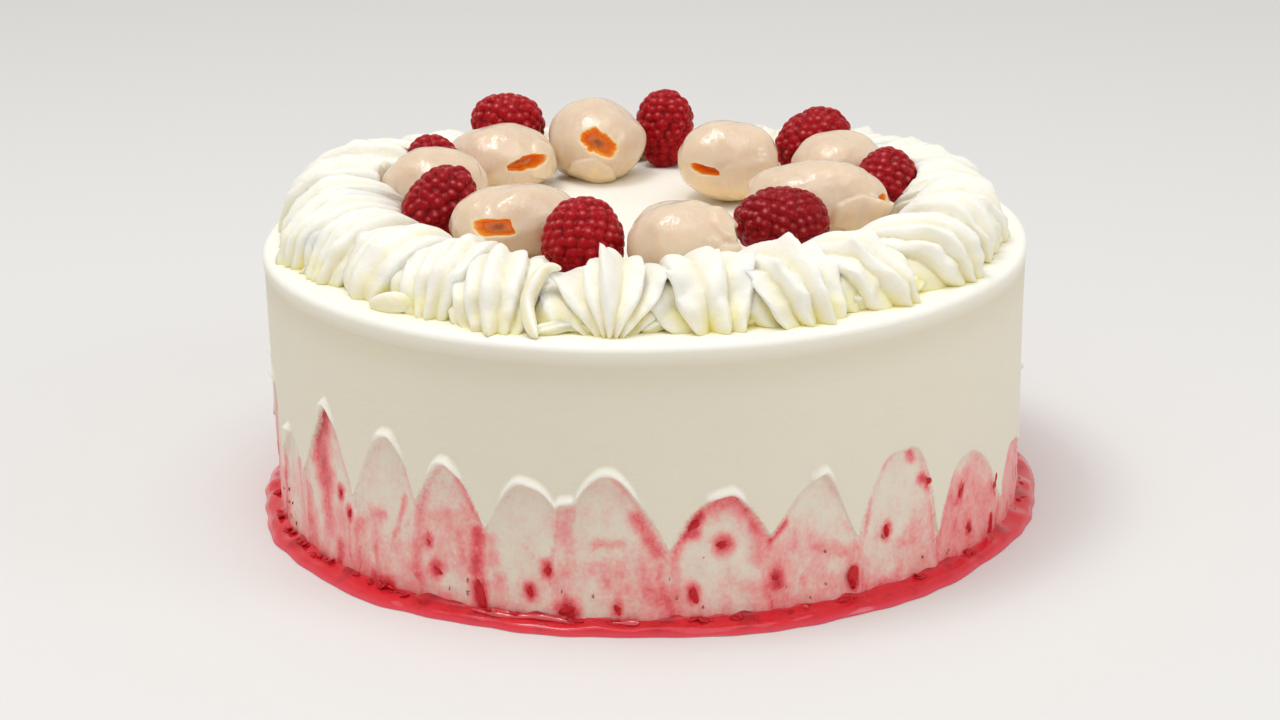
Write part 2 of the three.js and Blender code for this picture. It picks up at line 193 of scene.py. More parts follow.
@dataclass
class Surface:
    """A closed skin: points in millimetres, faces of four and of three corners, and traits of points."""

    points: Array
    quads: Array
    triangles: Array
    traits: dict[str, Array]

    @classmethod
    def over_rings(
        cls,
        rings: Array,
        traits: Mapping[str, Array] | None = None,
        ends: tuple[Array, Array] | None = None,
    ) -> "Surface":
        """A skin over rings that go anticlockwise round the way from the first ring to the last.

        Args:
            rings: Points by ring and column. The columns close on themselves.
            traits: Values by ring and column.
            ends: The points that close the first and last rings. Without them those two are joined.

        Returns:
            The closed surface.
        """
        rows, columns = rings.shape[:2]
        points = rings.reshape(-1, 3)
        flat = {name: np.broadcast_to(value, (rows, columns)) for name, value in (traits or {}).items()}
        index = np.arange(rows * columns).reshape(rows, columns)
        beside = np.roll(index, -1, axis=1)
        triangles = np.zeros((0, 3), int)
        if ends is None:
            index = np.vstack([index, index[:1]])
            beside = np.vstack([beside, beside[:1]])
            values = {name: value.ravel() for name, value in flat.items()}
        else:
            first, last = rows * columns, rows * columns + 1
            near = np.stack([np.full(columns, first), beside[0], index[0]], -1)
            far = np.stack([np.full(columns, last), index[-1], beside[-1]], -1)
            triangles = np.vstack([near, far])
            points = np.vstack([points, *ends])
            values = {
                name: np.concatenate([value.ravel(), [value[0].mean(), value[-1].mean()]])
                for name, value in flat.items()
            }
        quads = np.stack([index[:-1], beside[:-1], beside[1:], index[1:]], -1).reshape(-1, 4)
        return cls(points, quads, triangles, values)

    @classmethod
    def joined(cls, parts: Sequence["Surface"]) -> "Surface":
        """Several surfaces with the same traits as one."""
        starts = np.cumsum([0] + [len(part.points) for part in parts[:-1]])
        return cls(
            np.vstack([part.points for part in parts]),
            np.vstack([part.quads + start for part, start in zip(parts, starts)]),
            np.vstack([part.triangles + start for part, start in zip(parts, starts)]),
            {name: np.concatenate([part.traits[name] for part in parts]) for name in parts[0].traits},
        )

    def piece(self, name: str, slot: Slot, finish: bpy.types.Material, nodes: Sequence[str]) -> None:
        """Makes the surface a mesh object that stands for solids.

        Args:
            name: The object's name.
            slot: The record's slot that its finish belongs to. It is not used.
            finish: Its material.
            nodes: The solids that it replaces.
        """
        mesh = bpy.data.meshes.new(name)
        corners = np.concatenate([self.quads.ravel(), self.triangles.ravel()])
        sizes = np.repeat([4, 3], [len(self.quads), len(self.triangles)])
        mesh.vertices.add(len(self.points))
        mesh.vertices.foreach_set("co", (self.points * MM).astype(np.float32).ravel())
        mesh.loops.add(len(corners))
        mesh.loops.foreach_set("vertex_index", corners.astype(np.int32))
        mesh.polygons.add(len(sizes))
        mesh.polygons.foreach_set("loop_start", (np.cumsum(sizes) - sizes).astype(np.int32))
        mesh.polygons.foreach_set("use_smooth", np.ones(len(sizes), bool))
        mesh.update(calc_edges=True)
        for trait, values in self.traits.items():
            layer = mesh.attributes.new(trait, "FLOAT", "POINT")
            layer.data.foreach_set("value", values.astype(np.float32))
        mesh.materials.append(finish)
        made = bpy.data.objects.new(name, mesh)
        bpy.context.collection.objects.link(made)
        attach(made, "root")
        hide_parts(*nodes)
        LOG.info("%s: %d triangles", name, 2 * len(self.quads) + len(self.triangles))


class Value:
    """A number that changes over a surface, as a node's output whose operators add Math nodes."""

    def __init__(self, recipe: "Recipe", socket: bpy.types.NodeSocket) -> None:
        """Wraps an output socket of a recipe's node."""
        self.recipe = recipe
        self.socket = socket

    def __add__(self, other: "Value | float") -> "Value":
        """This plus another."""
        return self.recipe.maths("ADD", self, other)

    __radd__ = __add__

    def __sub__(self, other: "Value | float") -> "Value":
        """This less another."""
        return self.recipe.maths("SUBTRACT", self, other)

    def __rsub__(self, other: "Value | float") -> "Value":
        """Another less this."""
        return self.recipe.maths("SUBTRACT", other, self)

    def __mul__(self, other: "Value | float") -> "Value":
        """This times another."""
        return self.recipe.maths("MULTIPLY", self, other)

    __rmul__ = __mul__

    def ramp(self, low: float, high: float) -> "Value":
        """Rises softly from 0 where this is at low to 1 where it is at high."""
        settings = {"interpolation_type": "SMOOTHSTEP"}
        made = self.recipe.node("ShaderNodeMapRange", settings, {0: self, 1: low, 2: high})
        return Value(self.recipe, made.outputs[0])


class Recipe:
    """One material's nodes, and the ways to add to them."""

    def __init__(self, name: str) -> None:
        """Starts a material with its Principled shader."""
        self.material = bpy.data.materials.new(name)
        self.material.use_nodes = True
        self.tree = self.material.node_tree
        self.shader = self.tree.nodes["Principled BSDF"]
        self.place = self.node("ShaderNodeTexCoord", {}, {}).outputs["Object"]

    def feed(self, socket: bpy.types.NodeSocket, value: object) -> None:
        """Links a socket to a value or an output, or sets it to a number or a vector."""
        if isinstance(value, Value):
            self.tree.links.new(value.socket, socket)
        elif isinstance(value, bpy.types.NodeSocket):
            self.tree.links.new(value, socket)
        elif socket.type == "RGBA":
            socket.default_value = (*value, 1)
        else:
            socket.default_value = value

    def node(
        self, kind: str, settings: Mapping[str, object], inputs: Mapping[object, object]
    ) -> bpy.types.Node:
        """Adds a node.

        Args:
            kind: The node's type.
            settings: Its properties, which are set first. stops are a colour ramp's (place, colour).
            inputs: Values or links for its sockets, by name or number.

        Returns:
            The node.
        """
        made = self.tree.nodes.new(kind)
        for name, setting in settings.items():
            if name == "stops":
                self.set_stops(made.color_ramp, setting)
            else:
                setattr(made, name, setting)
        for key, value in inputs.items():
            self.feed(made.inputs[key], value)
        return made

    @staticmethod
    def set_stops(ramp: bpy.types.ColorRamp, stops: Sequence[tuple[float, Colour]]) -> None:
        """Gives a colour ramp its stops, of which it has two to begin with."""
        for _ in stops[2:]:
            ramp.elements.new(0.5)
        for element, (place, colour) in zip(ramp.elements, stops):
            element.position = place
            element.color = (*colour, 1)

    def maths(self, operation: str, *operands: "Value | float") -> Value:
        """The result of a Math node."""
        made = self.node("ShaderNodeMath", {"operation": operation}, dict(enumerate(operands)))
        return Value(self, made.outputs[0])

    def trait(self, name: str) -> Value:
        """One of the surface's own traits."""
        return Value(self, self.node("ShaderNodeAttribute", {"attribute_name": name}, {}).outputs["Fac"])

    def noise(self, size: float, detail: float, shift: float = 0, stretch: Triple = (1, 1, 1)) -> Value:
        """Noise of about 0.5.

        Args:
            size: How far apart its patches are, in millimetres.
            detail: How many finer layers it has.
            shift: Where in the noise it is, so that two don't match.
            stretch: How much longer the patches are along X, Y and Z.

        Returns:
            The noise at each point of the surface.
        """
        scale = tuple(1 / (size * MM * longer) for longer in stretch)
        settings = {"Vector": self.place, "Location": (shift, 1.7 * shift, -shift), "Scale": scale}
        moved = self.node("ShaderNodeMapping", {}, settings)
        sockets = {"Vector": moved.outputs[0], "Scale": 1.0, "Detail": detail, "Roughness": 0.55}
        return Value(self, self.node("ShaderNodeTexNoise", {}, sockets).outputs["Fac"])

    def blend(self, share: "Value | float", first: object, second: object) -> bpy.types.NodeSocket:
        """A colour on the way from the first at a share of 0 to the second at 1."""
        return self.node("ShaderNodeMix", {"data_type": "RGBA"}, {0: share, 6: first, 7: second}).outputs[2]

    def colours(self, amount: Value, stops: Sequence[tuple[float, Colour]]) -> bpy.types.NodeSocket:
        """A colour from stops along an amount."""
        return self.node("ShaderNodeValToRGB", {"stops": stops}, {0: amount}).outputs[0]

    def bump(self, height: Value, distance: float, strength: float = 1.0) -> bpy.types.NodeSocket:
        """A normal raised by a height times a distance in millimetres."""
        sockets = {"Strength": strength, "Distance": distance * MM, "Height": height}
        return self.node("ShaderNodeBump", {}, sockets).outputs[0]

    def finished(self, sockets: Mapping[str, object]) -> bpy.types.Material:
        """The material, once its shader's sockets are set or linked."""
        for name, value in sockets.items():
            self.feed(self.shader.inputs[name], value)
        return self.material


@dataclass(frozen=True)
class Flesh:
    """How light soaks into a food: how much of it, how far in millimetres for red, green and blue."""

    weight: float
    reach: Triple

    def sockets(self) -> dict[str, object]:
        """The shader's constant sockets for it."""
        return {
            "Subsurface Weight": self.weight,
            "Subsurface Radius": self.reach,
            "Subsurface Scale": MM,
        }


@dataclass(frozen=True)
class IcingFinish:
    """Smooth whipped cream that is smeared with purée below the edge of the strokes, with painted shade on
    its side and where the piping crowds its top.
    """

    # top is the cream in full light, and side is the same cream with painted shade: darker and yellower.
    top: Colour = (0.95, 0.925, 0.85)
    side: Colour = (0.755, 0.695, 0.54)
    # contact is painted shade: a lemon yellow on the top where the piping crowds it.
    contact: Colour = (0.93, 0.82, 0.28)
    smear: tuple[tuple[float, Colour], ...] = (
        (0.0, (0.79, 0.71, 0.585)),
        (0.16, (0.80, 0.625, 0.525)),
        (0.32, (0.83, 0.45, 0.40)),
        (0.5, (0.84, 0.28, 0.27)),
        (0.68, (0.80, 0.14, 0.15)),
        (0.84, (0.71, 0.055, 0.07)),
        (1.0, (0.54, 0.016, 0.026)),
    )
    flesh: Flesh = Flesh(0.2, (2.4, 1.7, 0.9))

    def make(self) -> bpy.types.Material:
        """Builds the material from the traits under, stain, side and contact, of which side and contact place
        painted shade.
        """
        recipe = Recipe("cream icing")
        grain = recipe.noise(1.0, 3, stretch=(1, 1, 1.15))
        blotch = recipe.noise(3.6, 4, 3.1, (1, 1, 1.15))
        cloud = recipe.noise(9, 3, 7.7)
        streak = recipe.noise(1.8, 2, 5.7, (1, 1, 7))
        broad = recipe.noise(22, 2, 9.2, (1, 1, 0.7))
        scraped = recipe.noise(1.1, 2, 2.3, (30, 30, 1))
        inside = (recipe.trait("under") + (grain - 0.5) * 0.8).ramp(-0.25, 0.6)
        amount = recipe.trait("stain") + (blotch - 0.5) * 0.6 + (cloud - 0.5) * 0.45 + (grain - 0.5) * 0.4
        # Painted shade: the side colour where the trait side is high.
        plain = recipe.blend(recipe.trait("side"), self.top, self.side)
        plain = recipe.blend((broad - 0.35) * 0.3, plain, self.side)
        # Painted shade where the piping crowds the top.
        plain = recipe.blend(recipe.trait("contact"), plain, self.contact)
        base = recipe.blend(inside, plain, recipe.colours(amount, self.smear))
        wet = inside * amount.ramp(0.3, 0.9)
        relief = grain * 0.35 + scraped * 0.4 + streak * inside * 0.25 + blotch * inside * 0.8
        sockets = {
            "Base Color": base,
            "Roughness": 0.52 - 0.1 * inside - 0.22 * wet,
            "Normal": recipe.bump(relief, 0.22),
        }
        return recipe.finished(sockets | self.flesh.sockets())


@dataclass(frozen=True)
class PipedFinish:
    """Piped whipped cream with painted shade: yellower in its grooves and low down, and lemon yellow where it
    is crowded.
    """

    cream: Colour = (0.92, 0.895, 0.815)
    # deep is painted shade, in the grooves and low down.
    deep: Colour = (0.84, 0.77, 0.48)
    # contact is painted shade: lemon yellow where the piping is crowded.
    contact: Colour = (0.93, 0.83, 0.17)
    flesh: Flesh = Flesh(0.3, (3.0, 2.2, 1.0))

    def make(self) -> bpy.types.Material:
        """Builds the material from the traits groove and contact, which both place painted shade."""
        recipe = Recipe("piped cream")
        grain = recipe.noise(1.2, 3)
        patch = recipe.noise(7, 2, 4.2)
        # Painted shade in the grooves and low down.
        groove = recipe.trait("groove") * 0.8 + (patch - 0.5) * 0.5
        base = recipe.blend(groove.ramp(0.1, 0.8) * 0.75, self.cream, self.deep)
        # Painted shade where the piping is crowded.
        base = recipe.blend(recipe.trait("contact"), base, self.contact)
        sockets = {
            "Base Color": base,
            "Roughness": 0.44 + (grain - 0.5) * 0.2,
            "Normal": recipe.bump(grain + patch * 0.8, 0.2),
        }
        return recipe.finished(sockets | self.flesh.sockets())


@dataclass(frozen=True)
class PureeFinish:
    """Wet raspberry purée, pinker where it is thin."""

    name: str = "raspberry puree"
    deep: Colour = (0.40, 0.006, 0.012)
    bright: Colour = (0.70, 0.018, 0.032)
    thin: Colour = (0.84, 0.12, 0.17)
    specular: float = 0.25
    coat: float = 0.25
    roughness: float = 0.12
    flesh: Flesh = Flesh(0.2, (2.5, 0.6, 0.6))

    def make(self) -> bpy.types.Material:
        """Builds the material from the traits thin and lump."""
        recipe = Recipe(self.name)
        patch = recipe.noise(5, 3)
        grain = recipe.noise(1.6, 3, 6.1)
        dark = patch + recipe.trait("lump") * 0.4 + (grain - 0.5) * 0.4
        base = recipe.blend(dark.ramp(0.5, 1.0), self.bright, self.deep)
        base = recipe.blend(recipe.trait("thin") * 0.5, base, self.thin)
        sockets = {
            "Base Color": base,
            "Roughness": self.roughness + (patch - 0.5) * 0.08 + recipe.trait("lump") * 0.35,
            "Normal": recipe.bump(patch + grain * 0.25, 0.3, 0.5),
            "Specular IOR Level": self.specular,
            "Coat Weight": self.coat,
            "Coat Roughness": 0.03,
        }
        return recipe.finished(sockets | self.flesh.sockets())


@dataclass(frozen=True)
class LycheeFinish:
    """Wet, see-through pale flesh, ochre low down and orange in the pit hole."""

    pale: Colour = (0.745, 0.595, 0.445)
    clear: Colour = (0.69, 0.54, 0.40)
    warm: Colour = (0.92, 0.68, 0.37)
    edge: Colour = (0.92, 0.66, 0.33)
    pit: Colour = (0.90, 0.34, 0.035)
    pit_deep: Colour = (0.58, 0.16, 0.012)
    coat: float = 0.25
    flesh: Flesh = Flesh(0.85, (9.0, 6.0, 3.8))

    def make(self) -> bpy.types.Material:
        """Builds the material from the traits low and pit."""
        recipe = Recipe("lychee flesh")
        veins = recipe.noise(2.4, 3, stretch=(1, 1, 2.4))
        patch = recipe.noise(8, 2, 7.3)
        low = recipe.trait("low") + (patch - 0.5) * 0.8 + (veins - 0.5) * 0.3
        cloud = recipe.noise(10, 3, 2.2)
        base = recipe.blend(cloud.ramp(0.4, 0.7) * 0.6, self.pale, self.clear)
        base = recipe.blend(low.ramp(0.4, 1.05), base, self.warm)
        pit = recipe.trait("pit") + (veins - 0.5) * 0.12
        base = recipe.blend(pit.ramp(0.02, 0.16), base, self.edge)
        base = recipe.blend(pit.ramp(0.11, 0.26), base, self.pit)
        base = recipe.blend((pit + (veins - 0.5) * 0.9).ramp(0.7, 1.15), base, self.pit_deep)
        sockets = {
            "Base Color": base,
            "Roughness": 0.15 + (veins - 0.5) * 0.12,
            "Normal": recipe.bump(veins + patch * 1.5, 0.5, 0.8),
            "Coat Weight": self.coat,
            "Coat Roughness": 0.02,
        }
        return recipe.finished(sockets | self.flesh.sockets())


@dataclass(frozen=True)
class BerryFinish:
    """Ripe raspberry drupelets, with painted shade in the creases and a painted highlight near the top of
    each.
    """

    crown: Colour = (0.36, 0.002, 0.006)
    # crease is painted shade between the drupelets.
    crease: Colour = (0.20, 0.001, 0.003)
    bloom: Colour = (0.38, 0.02, 0.03)
    # light is a painted highlight, laid near the top of each drupelet.
    light: Colour = (0.80, 0.30, 0.30)
    ripe: Colour = (0.14, 0.001, 0.005)
    specular: float = 0.05
    coat: float = 0.16
    flesh: Flesh = Flesh(0.25, (2.2, 0.5, 0.5))

    def make(self) -> bpy.types.Material:
        """Builds the material from the traits crease, spot and ripe, of which the first two place painted
        shade and a painted highlight.
        """
        recipe = Recipe("raspberry")
        patch = recipe.noise(6, 2)
        fine = recipe.noise(0.8, 2, 8.8)
        crease = recipe.trait("crease") + (patch - 0.5) * 0.35
        # Painted shade in the creases between the drupelets.
        base = recipe.blend(crease.ramp(0.2, 0.75), self.crown, self.crease)
        base = recipe.blend((fine - 0.5).ramp(0.06, 0.3) * 0.3, base, self.bloom)
        base = recipe.blend(recipe.trait("ripe"), base, self.ripe)
        # A painted highlight near the top of each drupelet.
        base = recipe.blend(recipe.trait("spot") * 0.5, base, self.light)
        sockets = {
            "Base Color": base,
            "Roughness": 0.24 + (fine - 0.5) * 0.2,
            "Normal": recipe.bump(fine, 0.12),
            "Specular IOR Level": self.specular,
            "Coat Weight": self.coat,
            "Coat Roughness": 0.03,
        }
        return recipe.finished(sockets | self.flesh.sockets())


@dataclass(frozen=True)
class FruitBitFinish:
    """Bits of raspberry and their seeds in the purée."""

    name: str
    skin: Colour
    patch: Colour
    roughness: float
    specular: float = 0.2
    flesh: Flesh = Flesh(0.25, (1.6, 0.4, 0.4))

    def make(self) -> bpy.types.Material:
        """Builds the material."""
        recipe = Recipe(self.name)
        spots = recipe.noise(1.4, 3)
        sockets = {
            "Base Color": recipe.blend(spots.ramp(0.4, 0.65), self.skin, self.patch),
            "Roughness": self.roughness + (spots - 0.5) * 0.2,
            "Normal": recipe.bump(spots, 0.25),
            "Specular IOR Level": self.specular,
        }
        return recipe.finished(sockets | self.flesh.sockets())


@dataclass(frozen=True)
class Streak:
    """A red mark in the smear: where it starts and ends, its width in millimetres, and how red it is."""

    angle: float
    z: float
    end_angle: float
    end_z: float
    wide: float
    red: float

    def spread(self, angle: Array, z: Array) -> Array:
        """How much of its red reaches points: a bell curve of the distance from the line of the mark."""
        across = MM_PER_DEGREE * turn_between(self.angle, angle)
        along = MM_PER_DEGREE * (self.end_angle - self.angle)
        rise = self.end_z - self.z
        part = np.clip((across * along + (z - self.z) * rise) / (along**2 + rise**2 + 0.01), 0, 1)
        away = np.hypot(across - part * along, z - self.z - part * rise) / (0.5 * self.wide + 0.3)
        return self.red * np.exp(-0.7 * away**2.2)


@dataclass(frozen=True)
class Stroke:
    """One upward stroke through purée and cream, with how red it is from 0 to 1.

    tip is the height of its tip, left and right are its half widths in degrees at the foot, and round is
    the shape of its outline, from a straight-sided peak at 1 to a full arch at 2 and more. cap is half
    the length in millimetres of the roll of cream over its tip. tint is the purée low on it, and soak
    the height that this reaches. crown is the purée along its upper edge, and left_edge and right_edge
    that along its sides.
    """

    angle: float
    tip: float
    left: float
    right: float
    round: float
    cap: float
    tint: float
    soak: float
    crown: float
    left_edge: float
    right_edge: float


@dataclass(frozen=True)
class StrokeBand:
    """The strokes all round the side of the cake.

    shown are those that the front shows. Most of their outlines start from a fit to points picked by eye
    in the photo, made outside this script, and their stains are set by eye. hidden gives the name of
    each size or stain of the strokes round the back, what it usually is, how far it is drawn round that,
    and by which trait.
    """

    count: int = 30
    shown: tuple[Stroke, ...] = (
        Stroke(-169, 41, 11, 12, 1.4, 3.0, 0.3, 18, 0.0, 0.3, 0.3),
        Stroke(-158, 31.5, 9.8, 15.5, 1.5, 2.5, 0.2, 22, 0.0, 0.1, 0.35),
        Stroke(-143.6, 45.6, 13.4, 11.6, 1.2, 4.5, 0.32, 22, 0.25, 0.15, 0.2),
        Stroke(-129.4, 44, 11.2, 8.3, 1.8, 5.6, 0.26, 24, 0.0, 0.05, 0.25),
        Stroke(-119.5, 40.2, 11.2, 11.6, 1.4, 5.6, 0.27, 33, 0.1, 0.15, 0.3),
        Stroke(-106.9, 37.9, 12.0, 11.4, 1.55, 8, 0.13, 10, 0.0, 0.0, 0.0),
        Stroke(-101.3, 33.4, 3.6, 3.8, 3.4, 4.0, 0.32, 30, 0.15, 0.0, 0.0),
        Stroke(-96, 41.2, 10.8, 13.4, 1.55, 9, 0.29, 24, 0.04, 0.0, 0.25),
        Stroke(-79.4, 35, 12.4, 10.3, 1.95, 5.5, 0.24, 14, 0.64, 0.35, 0.35),
        Stroke(-65.2, 37.8, 17, 9.6, 1.18, 3.6, 0.25, 21, 0.0, 0.1, 0.1),
        Stroke(-50.8, 39.4, 10.6, 7.5, 2.6, 0.1, 0.27, 18, 0.05, 0.25, 0.2),
        Stroke(-37, 31, 9, 14, 2, 0.1, 0.42, 30, 0.05, 0.1, 0.1),
        Stroke(-18.5, 23.5, 9.5, 12, 2.4, 0.1, 0.4, 28, 0.05, 0.3, 0.3),
    )
    hidden: tuple[tuple[str, float, float, Trait], ...] = (
        ("tip", 41.0, 5.0, Trait.STROKE_TIP),
        ("left", 12.0, 1.5, Trait.STROKE_LEFT),
        ("right", 12.0, 1.5, Trait.STROKE_RIGHT),
        ("round", 1.6, 0.4, Trait.STROKE_ROUND),
        ("cap", 4.5, 3.5, Trait.STROKE_CAP),
        ("tint", 0.36, 0.12, Trait.STROKE_TINT),
        ("soak", 21.0, 8.0, Trait.STROKE_SOAK),
        ("crown", 0.0, 0.35, Trait.STROKE_PLACE),
        ("left_edge", 0.2, 0.2, Trait.STROKE_EDGE),
        ("right_edge", 0.2, -0.2, Trait.STROKE_EDGE),
    )
    hidden_shift: float = 0.16
    soft_tip: float = 0.07
    wobble: float = 0.35
    valley_half: float = 1.3

    def strokes(self) -> list[Stroke]:
        """The strokes in order: those that the front shows, then those round the back."""
        last = self.shown[-1].angle
        hidden = self.count - len(self.shown)
        pitch = (self.shown[0].angle + 360 - last) / (hidden + 1)

        def hidden_stroke(i: int) -> Stroke:
            """A stroke at the back, with its sizes and stains drawn round the usual ones."""
            place = i + self.hidden_shift * one_draw(i, Trait.STROKE_PLACE)
            drawn = {
                name: max(0.0, usual + spread * one_draw(i, trait))
                for name, usual, spread, trait in self.hidden
            }
            return Stroke(angle=last + pitch * place, **drawn)

        return [*self.shown, *(hidden_stroke(i) for i in range(1, hidden + 1))]

    def columns_of(self, name: str) -> Array:
        """One number of every stroke, in order."""
        return np.array([getattr(stroke, name) for stroke in self.strokes()])

    def outline(self, angle: Array) -> tuple[Array, Array, Array]:
        """The outline that the strokes leave.

        A stroke's height at an angle is its tip times one less the part of its half width that the angle
        is away, to the power of its roundness. Near the tip that part is softened to a small curve. The
        outline is the highest of them, with a little wobble.

        Args:
            angle: Angles of any shape.

        Returns:
            The height, the nearness from 0 at the foot of the highest stroke to 1 at its tip, and its
            number in the list.
        """
        turn = turn_between(self.columns_of("angle"), angle[..., None])
        away = np.abs(turn) / np.where(turn < 0, self.columns_of("left"), self.columns_of("right"))
        softened = np.hypot(away, self.soft_tip) - self.soft_tip
        away = softened / (math.hypot(1, self.soft_tip) - self.soft_tip)
        heights = self.columns_of("tip") * (1 - away ** self.columns_of("round"))
        owner = heights.argmax(-1)
        nearness = 1 - np.take_along_axis(away, owner[..., None], -1)[..., 0]
        wobble = self.wobble * side_unevenness(angle, 0, 5.5, 13)
        return heights.max(-1) + wobble, nearness, owner

    def caps(self, angle: Array) -> Array:
        """How full the roll of cream over the tips is: 1 at a tip and 0 beyond its half length."""
        _, _, owner = self.outline(angle)
        away = np.abs(turn_between(self.columns_of("angle")[owner], angle)) * MM_PER_DEGREE
        cap = self.columns_of("cap")[owner]
        return np.minimum(cap / 3, 1) * (1 - smooth(away / cap, 0.3, 1.15))

    def valleys(self) -> Array:
        """The turn from each stroke's tip to where the next stroke rises above it."""
        steps = np.linspace(0, 1, 241)
        angles = self.columns_of("angle")
        turns = turn_between(angles, np.roll(angles, -1))
        at = steps[:, None] * turns
        mine = self.columns_of("tip") * (1 - (at / self.columns_of("right")) ** self.columns_of("round"))
        left = (turns - at) / np.roll(self.columns_of("left"), -1)
        others = np.roll(self.columns_of("tip"), -1) * (1 - left ** np.roll(self.columns_of("round"), -1))
        return turns * steps[(others > mine).argmax(0)]

    def valley_nearness(self, angle: Array) -> Array:
        """How near angles are to the middle of a valley, as a narrow bell curve round each."""
        places = self.columns_of("angle") + self.valleys()
        away = np.abs(turn_between(places, angle[..., None])).min(-1)
        return bell(away * MM_PER_DEGREE, self.valley_half)

    def sides(self, angle: Array, z: Array, owner: Array) -> tuple[Array, Array]:
        """How far points are from the left and right sides of their stroke, in millimetres.

        A side is the stroke's own outline high up and the valley to its neighbour below.

        Args:
            angle: The points' angles.
            z: Their heights.
            owner: The number of the stroke each is in.

        Returns:
            The distances from the left and from the right side.
        """
        turn = turn_between(self.columns_of("angle")[owner], angle)
        rest = np.clip(1 - z / self.columns_of("tip")[owner], 0, 1) ** (1 / self.columns_of("round")[owner])
        valleys = self.valleys()
        angles = self.columns_of("angle")
        back = turn_between(np.roll(angles, 1), angles) - np.roll(valleys, 1)
        right = np.minimum(self.columns_of("right")[owner] * rest, valleys[owner])
        left = np.minimum(self.columns_of("left")[owner] * rest, back[owner])
        return (turn + left) * MM_PER_DEGREE, (right - turn) * MM_PER_DEGREE


@dataclass(frozen=True)
class Lump:
    """A bit of raspberry in the smear: its angle, height, width and length in millimetres, and its lean."""

    angle: float
    z: float
    wide: float
    long: float
    lean: float = 0.0


